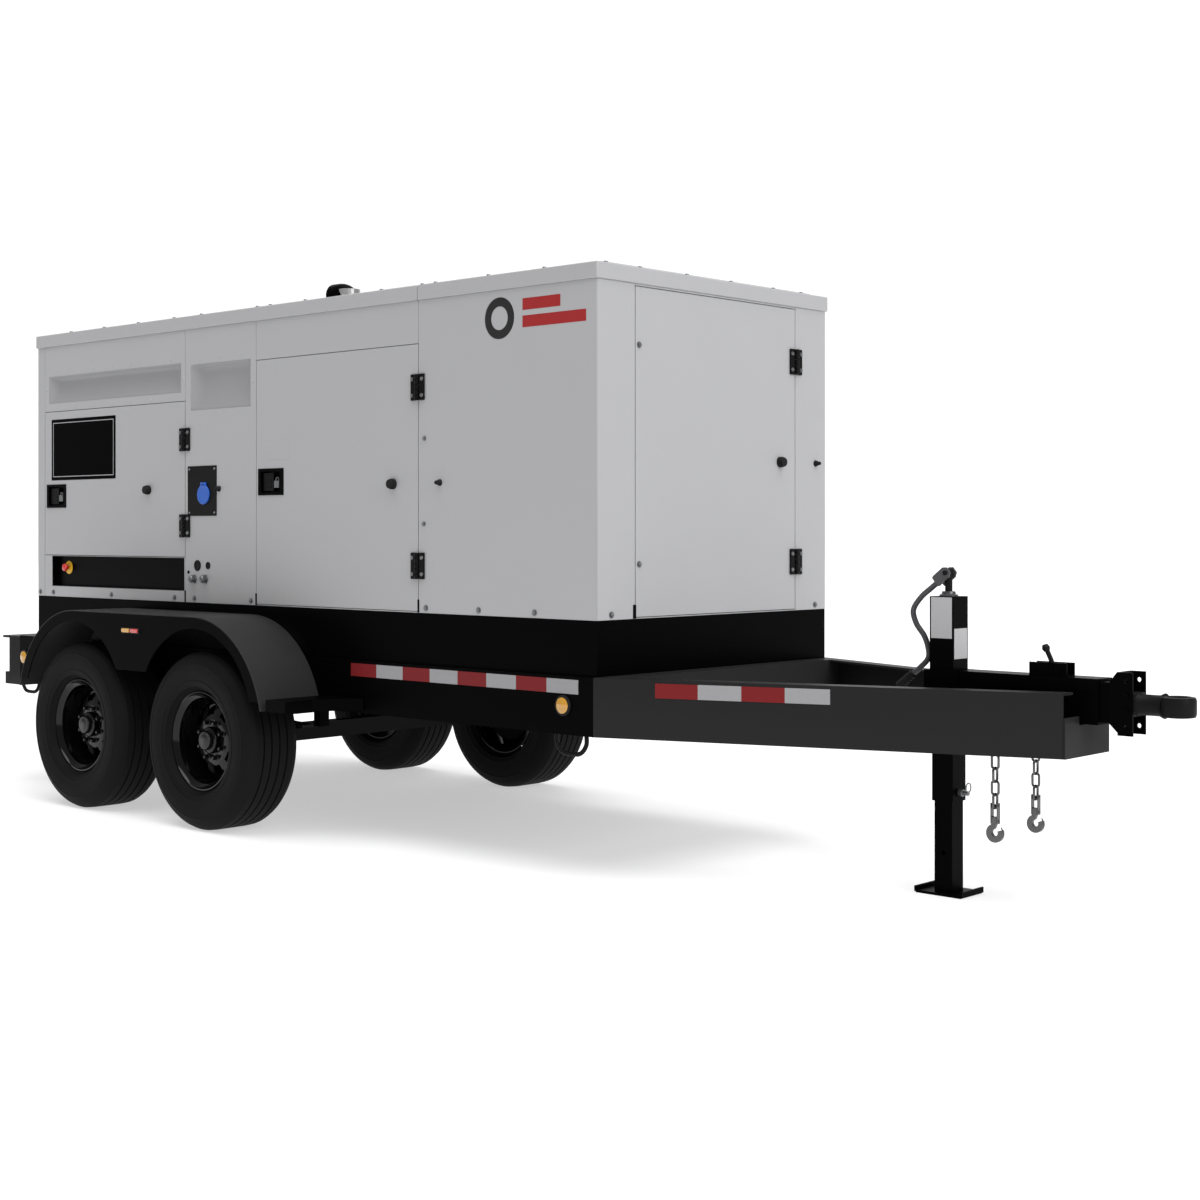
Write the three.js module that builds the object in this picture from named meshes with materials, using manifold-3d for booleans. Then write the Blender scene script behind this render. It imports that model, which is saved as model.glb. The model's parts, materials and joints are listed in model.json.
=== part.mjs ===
// Towable diesel generator: a sound-proofed enclosure on a tank base, carried by a tandem-axle trailer.
// Millimetres. +X points to the hitch, +Y to the left side, +Z up. The origin is on the ground, under
// the middle of the whole outline, and lengths along X are counted from the enclosure's front face.
import * as THREE from 'three';
import { mergeVertices } from 'three/addons/utils/BufferGeometryUtils.js';
import Module from 'manifold-3d';

const wasm = await Module();
wasm.setup();

// ---- driving dimensions -------------------------------------------------------------------------
const GAP = 0.3; // running and resting gap between neighbours
const FRONT = 1145; // x of the enclosure's front face
const LENGTH = 4000; // enclosure length
const HALF_W = 733.5; // half the enclosure's width
const WALL = 40; // lined door and wall thickness
const SEAM = 3; // gap round a door
const Z_RAIL = [550, 775]; // main rails, bottom and top
const Z_TANK = [775 + GAP, 989]; // tank base
const Z_BODY = [989 + GAP, 2287]; // enclosure walls
const Z_CAP = 2351; // top of the roof's rim
const Z_ROOF = 2362; // top of the roof's raised panel
const REAR = -4320; // rear end of the bumper
const RAIL_Y = 755; // outer face of a main rail
const RAIL_W = 70;
const SKIN = 6; // plate thickness of channels and fenders
const WHEEL_X = [-2105, -3090]; // both axles
const WHEEL_Y = 934; // tyre's middle plane
const TYRE_R = 397;
const TYRE_W = 290;
const RIM_R = 220; // rim flange radius
const FACETS = 28; // sides of a wheel's round surfaces
const NOSE = 1630; // front of the tongue beams
const NOSE_Y = 159; // half width of the nose
const JACK_X = 1083;
const HITCH_Z = 740; // height of the coupler
const CHAIN = { x: 1360, y: 142, top: 548, link: 60, bottom: 345 };
const DOORS = {
  control: { x: [-3934, -2672], z: [1202, 1950] },
  service: { x: [-2116, -1008], z: [993, 2109] },
  front: { y: [-518, 516], z: [993, 2280] },
};
const ROOF_SEAM = -1008;
const EXHAUST = { x: -1860, y: -400, r: 50, top: 2440 };

// ---- geometry helpers ---------------------------------------------------------------------------
const at = (t) => FRONT + t; // a length counted from the front face, as x

function solid(geometry) {
  const g = geometry.clone();
  g.deleteAttribute('normal');
  g.deleteAttribute('uv');
  const merged = mergeVertices(g, 1e-4);
  const mesh = new wasm.Mesh({
    numProp: 3,
    vertProperties: Float32Array.from(merged.attributes.position.array),
    triVerts: Uint32Array.from(merged.index.array),
  });
  return new wasm.Manifold(mesh);
}

const union = (...parts) => parts.reduce((a, b) => a.add(b));
const cut = (base, ...tools) => tools.reduce((a, b) => a.subtract(b), base);

function box(x, y, z) {
  const g = new THREE.BoxGeometry(x[1] - x[0], y[1] - y[0], z[1] - z[0]);
  g.translate((x[0] + x[1]) / 2, (y[0] + y[1]) / 2, (z[0] + z[1]) / 2);
  return solid(g);
}

function shapeOf(points) {
  return new THREE.Shape(points.map(([a, b]) => new THREE.Vector2(a, b)));
}

// a profile drawn in X-Z and carried along Y from y[0] to y[1]
function alongY(shape, y, curveSegments = 12) {
  const g = new THREE.ExtrudeGeometry(shape, { depth: y[1] - y[0], bevelEnabled: false, curveSegments });
  g.rotateX(Math.PI / 2);
  g.translate(0, y[1], 0);
  return solid(g);
}

// a profile drawn in X-Y and carried up from z[0] to z[1]
function alongZ(shape, z, curveSegments = 12) {
  const g = new THREE.ExtrudeGeometry(shape, { depth: z[1] - z[0], bevelEnabled: false, curveSegments });
  g.translate(0, 0, z[0]);
  return solid(g);
}

// a round bar from a to b
function rod(a, b, r, sides = 16) {
  const from = new THREE.Vector3(...a);
  const to = new THREE.Vector3(...b);
  const g = new THREE.CylinderGeometry(r, r, from.distanceTo(to), sides);
  const turn = new THREE.Quaternion().setFromUnitVectors(new THREE.Vector3(0, 1, 0), to.clone().sub(from).normalize());
  g.applyQuaternion(turn);
  g.translate(...from.add(to).multiplyScalar(0.5).toArray());
  return solid(g);
}

// a closed profile of [radius, offset] turned about the Y axis through (x, z), whichever way it is drawn
function turned(profile, x, y, z, sides = FACETS) {
  const area = profile.reduce((sum, [r, h], i) => {
    const [r2, h2] = profile[(i + 1) % profile.length];
    return sum + r * h2 - r2 * h;
  }, 0);
  const drawn = area > 0 ? profile : [...profile].reverse();
  const g = new THREE.LatheGeometry(drawn.map(([r, h]) => new THREE.Vector2(r, h)), sides);
  g.translate(x, y, z);
  return solid(g);
}

// a tube of radius r along hand-placed points
function bent(points, r, steps, sides = 10) {
  const path = new THREE.CatmullRomCurve3(points.map((p) => new THREE.Vector3(...p)));
  const ring = new THREE.Shape();
  ring.absarc(0, 0, r, 0, 2 * Math.PI);
  return solid(new THREE.ExtrudeGeometry(ring, { steps, extrudePath: path, curveSegments: sides, bevelEnabled: false }));
}

const generator = new THREE.Group();
function add(name, manifold, look) {
  const m = manifold.getMesh();
  const g = new THREE.BufferGeometry();
  g.setAttribute('position', new THREE.BufferAttribute(m.vertProperties, 3));
  g.setIndex(new THREE.BufferAttribute(m.triVerts, 1));
  g.computeVertexNormals();
  const mesh = new THREE.Mesh(g, look);
  mesh.name = name;
  generator.add(mesh);
}

const look = (color, roughness, metalness = 0) => new THREE.MeshStandardMaterial({ color, roughness, metalness });
const WHITE = look(0xd9dadb, 0.45);
const FRAME_BLACK = look(0x1b1b1c, 0.45, 0.2);
const RUBBER = look(0x161616, 0.85);
const RIM_BLACK = look(0x0a0a0a, 0.15, 0.4);
const STEEL = look(0x8c8f92, 0.35, 0.9);
const IRON = look(0x3b3f42, 0.6, 0.5);
const RED = look(0xb01712, 0.35);
const BLUE = look(0x1e4fa8, 0.4);
const PLASTIC = look(0x141414, 0.5);

const SIDES = [['right', -1], ['left', 1]];
const span = (side, a, b) => (side < 0 ? [-b, -a] : [a, b]); // a..b outwards on either side

// ---- trailer frame ------------------------------------------------------------------------------
function rail(side) {
  const x = [at(-4150), at(0)];
  const outer = box(x, span(side, RAIL_Y - RAIL_W, RAIL_Y), Z_RAIL);
  const hollow = box(x, span(side, RAIL_Y - RAIL_W - 1, RAIL_Y - SKIN), [Z_RAIL[0] + SKIN * 1.5, Z_RAIL[1] - SKIN * 1.5]);
  const hangers = HANGERS.map((t) => box([at(t - 22), at(t + 22)], span(side, 690, 740), [470, Z_RAIL[0] + 1]));
  return union(cut(outer, hollow), ...hangers);
}
const SPRING_HALF = 340;
const SPRING_MID = (WHEEL_X[0] + WHEEL_X[1]) / 2;
const HANGERS = [SPRING_MID, WHEEL_X[0] + SPRING_HALF + 95, WHEEL_X[1] - SPRING_HALF - 95];
for (const [name, side] of SIDES) add(`frame_rail_${name}`, rail(side), FRAME_BLACK);

const innerY = RAIL_Y - RAIL_W - GAP;
const channelBox = (x, y, z) => cut(box(x, y, z), box([x[0] - 1, x[1] - SKIN], [y[0] - 1, y[1] + 1], [z[0] + SKIN, z[1] - SKIN]));
add('rear_crossmember', channelBox([at(-4080), at(-4000)], [-innerY, innerY], Z_RAIL), FRAME_BLACK);
add('middle_crossmember', channelBox([at(-1250), at(-1170)], [-innerY, innerY], Z_RAIL), FRAME_BLACK);
add('front_crossmember', box([at(GAP), at(90)], [-RAIL_Y + 34, RAIL_Y - 34], [640, Z_RAIL[1]]), FRAME_BLACK);

// tongue beams: each runs from a rail's front end to the nose
function beam(side) {
  const w = RAIL_W;
  const reach = NOSE - GAP;
  const slope = (RAIL_Y - NOSE_Y) / NOSE;
  const yAt = (t) => side * (RAIL_Y - slope * t);
  const inner = (t) => yAt(t) - side * (w / Math.cos(Math.atan(slope)));
  const plan = shapeOf([[at(GAP), yAt(GAP)], [at(reach), yAt(reach)], [at(reach), inner(reach)], [at(GAP), inner(GAP)]]);
  const body = alongZ(plan, Z_RAIL);
  const pocket = shapeOf([[at(-30), yAt(-30) - side * 9], [at(NOSE + 9), yAt(NOSE + 9) - side * 9],
    [at(NOSE + 9), inner(NOSE) - side * 60], [at(-30), inner(-30) - side * 60]]);
  const keep = alongZ(pocket, [Z_RAIL[0] + 9, Z_RAIL[1] - 9]);
  return cut(body, keep, box([at(-1), at(90 + GAP)], [-RAIL_Y + 34 - GAP, RAIL_Y - 34 + GAP], [640 - GAP, 800]));
}
for (const [name, side] of SIDES) add(`tongue_beam_${name}`, beam(side), FRAME_BLACK);

// nose plate with its top edge scooped for the coupler housing
function nosePlate() {
  const plate = box([at(NOSE), at(NOSE + 10)], [-NOSE_Y, NOSE_Y], [Z_RAIL[0], 660]);
  const cheeks = SIDES.map(([, s]) => box([at(NOSE), at(NOSE + 10)], span(s, 60, NOSE_Y), [650, 690]));
  return union(plate, ...cheeks);
}
add('nose_plate', nosePlate(), FRAME_BLACK);

// coupler housing: a square tube along the middle of the tongue, open at its front
const HOUSING = { x: [1013, 1706], y: 51, z: [664, 822] };
const housing = cut(
  box([at(HOUSING.x[0]), at(HOUSING.x[1])], [-HOUSING.y, HOUSING.y], HOUSING.z),
  box([at(1250), at(1720)], [-HOUSING.y + 8, HOUSING.y - 8], [HOUSING.z[0] + 8, HOUSING.z[1] - 8]),
  box([at(JACK_X - 52), at(JACK_X + 52)], [-52, 52], [600, 900]),
);
const ties = SIDES.map(([, s]) => box([at(JACK_X - 70), at(JACK_X + 70)], span(s, 50.5, 59), HOUSING.z));
const brake = union(
  box([at(1430), at(1576)], [-30, -24], [821, 868]), box([at(1430), at(1576)], [24, 30], [821, 868]),
);
add('coupler_housing', union(housing, ...ties, brake,
  box([at(1430), at(1576)], [-30, 30], [820, 826]),
  box([at(1352), at(1368)], [-150, 150], [576, HOUSING.z[0] + 1]),
  box([at(1000), at(1020)], [-300, 300], [575, HOUSING.z[0] + 20])), FRAME_BLACK);

// ---- fenders, steps and bumper ------------------------------------------------------------------
const FENDER = { y: [762, 1086], centre: 450, r: 500, foot: 563, arch: 430, archZ: 468, skirt: 686 };
function archOutline(r, centre, floor) {
  const [front, rear] = WHEEL_X;
  const end = Math.acos(Math.min(1, (floor - centre) / r)); // angle off vertical where the arc meets the foot
  const s = new THREE.Shape();
  s.absarc(at(rear), centre, r, Math.PI / 2 + end, Math.PI / 2, true);
  s.absarc(at(front), centre, r, Math.PI / 2, Math.PI / 2 - end, true);
  s.closePath();
  return s;
}
function fender(side) {
  const outer = archOutline(FENDER.r, FENDER.centre, FENDER.foot);
  const inner = archOutline(FENDER.r - SKIN, FENDER.centre, FENDER.foot - 1);
  const top = cut(alongY(outer, span(side, ...FENDER.y), 10), alongY(inner, span(side, FENDER.y[0] - 1, FENDER.y[1] + 1), 10));
  let skirt = alongY(outer, span(side, FENDER.y[1] - SKIN, FENDER.y[1]), 10);
  const wide = span(side, FENDER.y[1] - 20, FENDER.y[1] + 20);
  for (const x of WHEEL_X) {
    const arch = new THREE.Shape();
    arch.absarc(at(x), FENDER.archZ, FENDER.arch, 0, 2 * Math.PI);
    skirt = cut(skirt, alongY(arch, wide, 20));
  }
  const low = WHEEL_X.map((x) => box([at(x - 400), at(x + 400)], wide, [500, 600]));
  const mid = box([at(WHEEL_X[1]), at(WHEEL_X[0])], wide, [400, FENDER.skirt]);
  return union(top, cut(skirt, ...low, mid));
}
function step(side) {
  const [a, b] = [762, 1079];
  const plan = shapeOf([[at(-1590), side * a], [at(-1330), side * a], [at(-1457), side * 937], [at(-1457), side * b], [at(-1590), side * b]]);
  return alongZ(plan, [564, 614]);
}
for (const [name, side] of SIDES) {
  add(`fender_${name}`, fender(side), FRAME_BLACK);
  add(`fender_step_${name}`, step(side), FRAME_BLACK);
}
const bumper = union(
  box([at(-4260), at(-4150 - GAP)], [-RAIL_Y, RAIL_Y], [575, 760]),
  box([at(REAR), at(-4150 - GAP)], [-RAIL_Y - 3, RAIL_Y + 3], [758, 770]),
  box([at(-4300), at(-4150 - GAP)], [-RAIL_Y, RAIL_Y], [512, 576]),
);
add('rear_bumper', cut(bumper, box([at(-4250), at(-4140)], [-RAIL_Y + 9, RAIL_Y - 9], [521, 750])), FRAME_BLACK);

// ---- running gear -------------------------------------------------------------------------------
const AXLE = 38; // half the square axle tube
WHEEL_X.forEach((x, i) => {
  const tag = i ? 'rear' : 'front';
  const tube = box([at(x) - AXLE, at(x) + AXLE], [-775, 775], [TYRE_R - AXLE, TYRE_R + AXLE]);
  const stub = rod([at(x), -WHEEL_Y + 20, TYRE_R], [at(x), WHEEL_Y - 20, TYRE_R], 24, 16);
  add(`axle_${tag}`, union(tube, stub), FRAME_BLACK);
  for (const [name, side] of SIDES) {
    // leaf spring: an arched pack over the axle, eyes at both ends
    const leaf = new THREE.Shape();
    const low = TYRE_R + AXLE + GAP;
    leaf.moveTo(at(x - SPRING_HALF), low + 20);
    leaf.quadraticCurveTo(at(x), low - 20, at(x + SPRING_HALF), low + 20);
    leaf.lineTo(at(x + SPRING_HALF), low + 32);
    leaf.quadraticCurveTo(at(x), low + 60, at(x - SPRING_HALF), low + 32);
    leaf.closePath();
    add(`leaf_spring_${tag}_${name}`, alongY(leaf, span(side, 684, 746), 8), FRAME_BLACK);
    // tyre: a carcass open towards the rim
    const half = TYRE_W / 2;
    const tyre = [[RIM_R - 1, -105], [RIM_R + 60, -half], [330, -half], [368, -half + 10], [390, -half + 32],
      [TYRE_R, -half + 55], [TYRE_R, half - 55], [390, half - 32], [368, half - 10], [330, half], [RIM_R + 60, half],
      [RIM_R - 1, 105], [RIM_R - 1, 88], [300, half - 25], [370, half - 45], [370, -half + 45], [300, -half + 25],
      [RIM_R - 1, -88]];
    add(`tyre_${tag}_${name}`, turned(tyre.concat([tyre[0]]), at(x), side * WHEEL_Y, TYRE_R), RUBBER);
    // rim with its disc and hub
    const barrel = [[188, -94], [RIM_R - 5, -104], [RIM_R - 5, -112], [180, -106], [176, 0], [180, 106], [RIM_R - 5, 112],
      [RIM_R - 5, 104], [188, 94], [184, 0]];
    const disc = [[26, 20], [95, 20], [150, 5], [179, 5], [179, -7], [150, -7], [95, 8], [26, 8]];
    const hub = [[26, -70], [70, -70], [70, 60], [58, 78], [26, 78]];
    const ring = (p) => turned(p.concat([p[0]]), 0, 0, 0, 20);
    const wheel = union(ring(barrel), ring(disc), ring(hub));
    add(`rim_${tag}_${name}`, wheel.rotate([0, 0, side < 0 ? 180 : 0]).translate([at(x), side * WHEEL_Y, TYRE_R]), RIM_BLACK);
  }
});

// ---- jack ---------------------------------------------------------------------------------------
const square = (half, z) => box([at(JACK_X - half), at(JACK_X + half)], [-half, half], z);
const JACK = { outer: 50, screw: 44, leg: 37.5, top: 1090 };
add('jack_outer_tube', cut(square(JACK.outer, [545, JACK.top]), square(JACK.screw + GAP + 0.2, [500, JACK.top - 8]),
  rod([at(JACK_X), 0, 1000], [at(JACK_X), 0, 1200], 14.5, 20)), FRAME_BLACK);
const pinHole = rod([at(JACK_X + 20), 0, 372], [at(JACK_X + 80), 0, 372], 9.5, 16);
add('jack_screw_tube', cut(square(JACK.screw, [340, 800]), square(JACK.leg + GAP + 0.2, [300, 790]), pinHole,
  rod([at(JACK_X), 0, 700], [at(JACK_X), 0, 900], 14.5, 20)), FRAME_BLACK);
const footPlate = union(
  box([at(JACK_X - 95), at(JACK_X + 95)], [-75, 75], [0, 10]),
  ...[-1, 1].map((s) => box(s < 0 ? [at(JACK_X - 101), at(JACK_X - 94)] : [at(JACK_X + 94), at(JACK_X + 101)], [-75, 75], [4, 24])),
);
add('jack_drop_leg', cut(union(square(JACK.leg, [5, 640]), footPlate), square(JACK.leg - 6, [14, 660]), pinHole,
  rod([at(JACK_X), -60, 150], [at(JACK_X), 60, 150], 9, 16)), FRAME_BLACK);
add('jack_plunger_pin', union(rod([at(JACK_X + JACK.leg + GAP), 0, 372], [at(JACK_X + 82), 0, 372], 8.5, 16),
  rod([at(JACK_X + JACK.screw + GAP), 0, 372], [at(JACK_X + 62), 0, 372], 14, 16),
  bent([[at(JACK_X + 80), 0, 372], [at(JACK_X + 92), 10, 378], [at(JACK_X + 96), 14, 396], [at(JACK_X + 88), 6, 410]], 4, 8, 6)), STEEL);
const PIN_Z = 1176;
add('jack_crank_head', union(rod([at(JACK_X), 0, 810], [at(JACK_X), 0, PIN_Z - 2], 14, 20),
  box([at(JACK_X - 9), at(JACK_X + 9)], [-14, 14], [PIN_Z - 14, PIN_Z + 14]),
  rod([at(JACK_X), -32, PIN_Z], [at(JACK_X), 32, PIN_Z], 6, 12)), FRAME_BLACK);
const crankPath = [[-38, -30], [-75, -58], [-118, -92], [-152, -140], [-140, -190], [-105, -236], [-88, -280], [-88, -318],
  [-120, -352], [-160, -384]];
const crankTube = bent(crankPath.map(([t, z]) => [at(JACK_X + t), 0, PIN_Z + z]), 11, 20, 5);
const fork = SIDES.map(([, s]) => {
  const plate = new THREE.BoxGeometry(74, 7, 46);
  plate.rotateY(-Math.PI / 4.6);
  plate.translate(at(JACK_X - 16), s * 22, PIN_Z - 12);
  return cut(solid(plate), rod([at(JACK_X), -60, PIN_Z], [at(JACK_X), 60, PIN_Z], 6 + GAP, 12));
});
add('jack_crank_handle', union(crankTube, ...fork, rod([at(JACK_X - 38), -24, PIN_Z - 30], [at(JACK_X - 38), 24, PIN_Z - 30], 12, 12),
  rod([at(JACK_X - 150), 0, PIN_Z - 376], [at(JACK_X - 218), 0, PIN_Z - 430], 17, 16)), STEEL);

// ---- coupler ------------------------------------------------------------------------------------
const slide = cut(
  union(
    box([at(1300), at(1782)], [-42, 42], [673.5, 812.5]),
    alongY(shapeOf([[at(1745), 673.5], [at(1786), 634], [at(1786), 850], [at(1775), 850], [at(1745), 812.5]]), [-50, 50]),
    box([at(1777), at(1786)], [-51, 51], [634, 850]),
    ...SIDES.map(([, s]) => box([at(1777), at(1832)], span(s, 43, 51), [634, 850])),
  ),
  ...[821, 770, 720, 663].map((z) => rod([at(1809), -60, z], [at(1809), 60, z], 8.5, 12)),
  box([at(1310), at(1771)], [-34, 34], [681, 805]),
  box([at(1290), at(1320)], [-34, 34], [681, 805]),
);
add('coupler_slide', slide, FRAME_BLACK);
const EYE_X = 1972;
const eyeHead = new THREE.CylinderGeometry(58, 58, 70, 8);
eyeHead.rotateY(Math.PI / 8);
eyeHead.rotateX(Math.PI / 2);
eyeHead.translate(at(EYE_X), 0, HITCH_Z);
add('eye_coupler', cut(
  union(box([at(1787), at(1832)], [-42.5, 42.5], [700, 780]), rod([at(1825), 0, HITCH_Z], [at(1922), 0, HITCH_Z], 36, 24),
    solid(eyeHead)),
  rod([at(EYE_X), 0, 650], [at(EYE_X), 0, 850], 38, 24),
  ...[770, 720].map((z) => rod([at(1809), -60, z], [at(1809), 60, z], 8.5, 12)),
), FRAME_BLACK);
add('breakaway_lever', union(rod([at(1511), -22, 850], [at(1511), 22, 850], 8, 12),
  rod([at(1511), 0, 846], [at(1479), 0, 918], 9, 12)), FRAME_BLACK);

// ---- safety chains: links end to end with a hook --------------------------------------------------
function chain(side) {
  const y = side * CHAIN.y;
  const x = at(CHAIN.x);
  const parts = [];
  for (let i = 0, z = CHAIN.top - GAP; z - CHAIN.link > CHAIN.bottom - 20; i += 1, z -= CHAIN.link - 14) {
    const across = i % 2 === 0;
    const half = 14;
    const [dx, dy] = across ? [half, 0] : [0, half];
    parts.push(rod([x + dx, y + dy, z], [x + dx, y + dy, z - CHAIN.link], 5, 6));
    parts.push(rod([x - dx, y - dy, z], [x - dx, y - dy, z - CHAIN.link], 5, 6));
    parts.push(rod([x - dx * 1.3, y - dy * 1.3, z - 5], [x + dx * 1.3, y + dy * 1.3, z - 5], 5, 6));
    parts.push(rod([x - dx * 1.3, y - dy * 1.3, z - CHAIN.link + 5], [x + dx * 1.3, y + dy * 1.3, z - CHAIN.link + 5], 5, 6));
  }
  const hook = new THREE.Shape();
  hook.absarc(0, 0, 34, 0.25 * Math.PI, 2.2 * Math.PI, false);
  hook.absarc(0, 0, 17, 2.2 * Math.PI, 0.25 * Math.PI, true);
  const g = new THREE.ExtrudeGeometry(hook, { depth: 16, bevelEnabled: false, curveSegments: 10 });
  g.rotateX(Math.PI / 2);
  g.translate(x, y + 8, CHAIN.bottom - 78);
  return union(...parts, solid(g), rod([x, y, CHAIN.bottom - 50], [x, y, CHAIN.bottom + 6], 11, 8));
}
for (const [name, side] of SIDES) add(`safety_chain_${name}`, chain(side), STEEL);

// ---- tank base ------------------------------------------------------------------------------------
const hw = HALF_W;
const inset = (g, d) => [[g[0][0] + d, g[0][1] - d], [g[1][0] + d, g[1][1] - d], [g[2][0] + d, g[2][1] - d]];
const tankBox = [[at(-LENGTH), at(0)], [-hw, hw], Z_TANK];
add('tank_base', cut(box(...tankBox), box(...inset(tankBox, SKIN)),
  rod([at(-1400), -hw + 150, 900], [at(-1400), -hw + 150, 1050], 45, 20)), FRAME_BLACK);

// ---- enclosure --------------------------------------------------------------------------------------
const doorHoleSide = (d, side) => box([at(d.x[0]), at(d.x[1])], span(side, hw - WALL - 1, hw + 1), d.z);
const intake = (x, z) => box([at(x[0]), at(x[1])], [-hw - 1, -hw + 34], z);
const walls = cut(
  box([at(-LENGTH), at(0)], [-hw, hw], Z_BODY),
  box([at(-LENGTH + WALL), at(-WALL)], [-hw + WALL, hw - WALL], [900, 2300]),
  doorHoleSide(DOORS.control, -1),
  doorHoleSide(DOORS.service, -1),
  doorHoleSide(DOORS.service, 1),
  box([at(-WALL - 1), at(1)], DOORS.front.y, DOORS.front.z),
  intake([-3893, -2706], [1991, 2132]),
  intake([-2628, -2158], [1900, 2118]),
  box([at(-3859), at(-2680)], [-hw - 1, -hw + 30], [1044, 1202 - SEAM]),
  box([at(-2640), at(-2426)], [-hw - 1, -hw + 34], [1408, 1628]),
  box([at(-LENGTH - 1), at(-LENGTH + 34)], [-560, 560], [1250, 2150]),
);
const sill = (y) => box([at(-LENGTH + 10), at(-10)], y, [Z_BODY[0], 1030]);
add('enclosure_walls', union(walls, sill([-hw + WALL - 1, -hw + 80]), sill([hw - 80, hw - WALL + 1])), WHITE);

const LATCH = { w: 150, h: 100, deep: 22 };
function sideDoor(d, side, latchT, latchZ) {
  const leaf = box([at(d.x[0] + SEAM), at(d.x[1] - SEAM)], span(side, hw - WALL + 2, hw), [d.z[0] + SEAM, d.z[1] - SEAM]);
  return cut(leaf, box([at(latchT - LATCH.w / 2), at(latchT + LATCH.w / 2)], span(side, hw - LATCH.deep, hw + 1),
    [latchZ - LATCH.h / 2, latchZ + LATCH.h / 2]));
}
const LATCHES = { control: [-3818, 1509], service: [-2005, 1551] };
add('control_door', cut(sideDoor(DOORS.control, -1, ...LATCHES.control), box([at(-3868), at(-3269)], [-hw - 1, -hw + 8], [1591, 1907])), WHITE);
add('service_door_right', sideDoor(DOORS.service, -1, ...LATCHES.service), WHITE);
add('service_door_left', sideDoor(DOORS.service, 1, ...LATCHES.service), WHITE);
add('front_door', box([at(-WALL + 2), at(0)], [DOORS.front.y[0] + SEAM, DOORS.front.y[1] - SEAM],
  [DOORS.front.z[0] + SEAM, DOORS.front.z[1] - SEAM]), WHITE);

function latch([t, z], side) {
  const w = LATCH.w / 2 - 8;
  return box([at(t - w), at(t + w)], span(side, hw - 12, hw - 4), [z - LATCH.h / 2 + 8, z + LATCH.h / 2 - 8]);
}
add('latch_control', latch(LATCHES.control, -1), PLASTIC);
add('latch_service_right', latch(LATCHES.service, -1), PLASTIC);
add('latch_service_left', latch(LATCHES.service, 1), PLASTIC);

function roof(x) {
  const lid = union(box(x, [-hw - 10, hw + 10], [Z_BODY[1] + GAP, Z_CAP]), box([x[0] + 40, x[1] - 40], [-hw + 60, hw - 60], [Z_CAP - 1, Z_ROOF]));
  const under = box([x[0] + 45, x[1] - 45], [-hw + 45, hw - 45], [Z_BODY[1] - 1, Z_CAP - 12]);
  return cut(lid, under, rod([at(EXHAUST.x), EXHAUST.y, 2200], [at(EXHAUST.x), EXHAUST.y, 2500], EXHAUST.r + 12, 24));
}
add('roof_rear', roof([at(-LENGTH - 10), at(ROOF_SEAM - SEAM)]), WHITE);
add('roof_front', roof([at(ROOF_SEAM), at(10)]), WHITE);

// ---- engine and generating set ------------------------------------------------------------------------
const FLOOR = Z_TANK[1] + GAP;
add('engine', union(box([at(-2350), at(-1250)], [-220, 220], [1130, 1560]), box([at(-2300), at(-1300)], [-150, 150], [1550, 1780]),
  ...[-2250, -1350].map((t) => box([at(t - 40), at(t + 40)], [-330, 330], [FLOOR, 1180]))), IRON);
add('alternator', union(rod([at(-3250), 0, 1340], [at(-2350 - GAP), 0, 1340], 270, 24), box([at(-3100), at(-2600)], [-260, 260], [FLOOR, 1200])), IRON);
add('radiator', cut(box([at(-760), at(-600)], [-560, 560], [FLOOR, 2150]), box([at(-690), at(-590)], [-500, 500], [1080, 2080])), PLASTIC);
const FAN = { x: -860, z: 1450, r: 330 };
const blades = [0, 1, 2, 3, 4, 5].map((i) => {
  const g = new THREE.BoxGeometry(10, 110, 260);
  g.rotateZ(0.5);
  g.translate(0, 0, 190);
  g.rotateX((i * Math.PI) / 3);
  g.translate(at(FAN.x), 0, FAN.z);
  return solid(g);
});
add('cooling_fan', union(rod([at(FAN.x - 40), 0, FAN.z], [at(FAN.x + 40), 0, FAN.z], 75, 20), ...blades,
  rod([at(-1249), 0, FAN.z], [at(FAN.x), 0, FAN.z], 24, 16)), PLASTIC);
add('battery', box([at(-1150), at(-930)], [300, 560], [FLOOR, 1210]), PLASTIC);
add('silencer', union(rod([at(-2300), 0, 1990], [at(-1250), 0, 1990], 130, 24),
  rod([at(EXHAUST.x), EXHAUST.y, 1950], [at(EXHAUST.x), EXHAUST.y, EXHAUST.top], EXHAUST.r, 24),
  rod([at(EXHAUST.x), EXHAUST.y, 1990], [at(EXHAUST.x), 0, 1990], EXHAUST.r - 10, 24),
  box([at(-1900), at(-1860)], [-60, 60], [1780 + GAP, 1900])), STEEL);
add('control_panel', box([at(-3860), at(-3275)], [-hw + 60, -hw + 200], [1300, 1900]), PLASTIC);
const STOP = { x: -3746, z: 1140 };
add('emergency_stop', union(rod([at(STOP.x), -hw - 8, STOP.z], [at(STOP.x), -hw + 10, STOP.z], 20, 24),
  rod([at(STOP.x), -hw, STOP.z], [at(STOP.x), -hw + 22, STOP.z], 11, 16)), RED);
const INLET = { x: -2515, z: 1520, r: 46 };
add('inlet_socket', union(rod([at(INLET.x), -hw - 4, INLET.z - 20], [at(INLET.x), -hw + 33, INLET.z - 20], INLET.r, 24)), BLUE);
add('inlet_cap', union(rod([at(INLET.x), -hw - 14, INLET.z - 20], [at(INLET.x), -hw - 4 - GAP, INLET.z - 20], INLET.r, 24),
  box([at(INLET.x - 20), at(INLET.x + 20)], [-hw - 14, -hw - 4 - GAP], [INLET.z + 10, INLET.z + 38])), BLUE);

export default generator;
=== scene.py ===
"""Looks of the towable diesel generator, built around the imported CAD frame. Lengths are in metres."""

import json
import math

import bmesh
import bpy
from mathutils import Matrix, Vector


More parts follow.
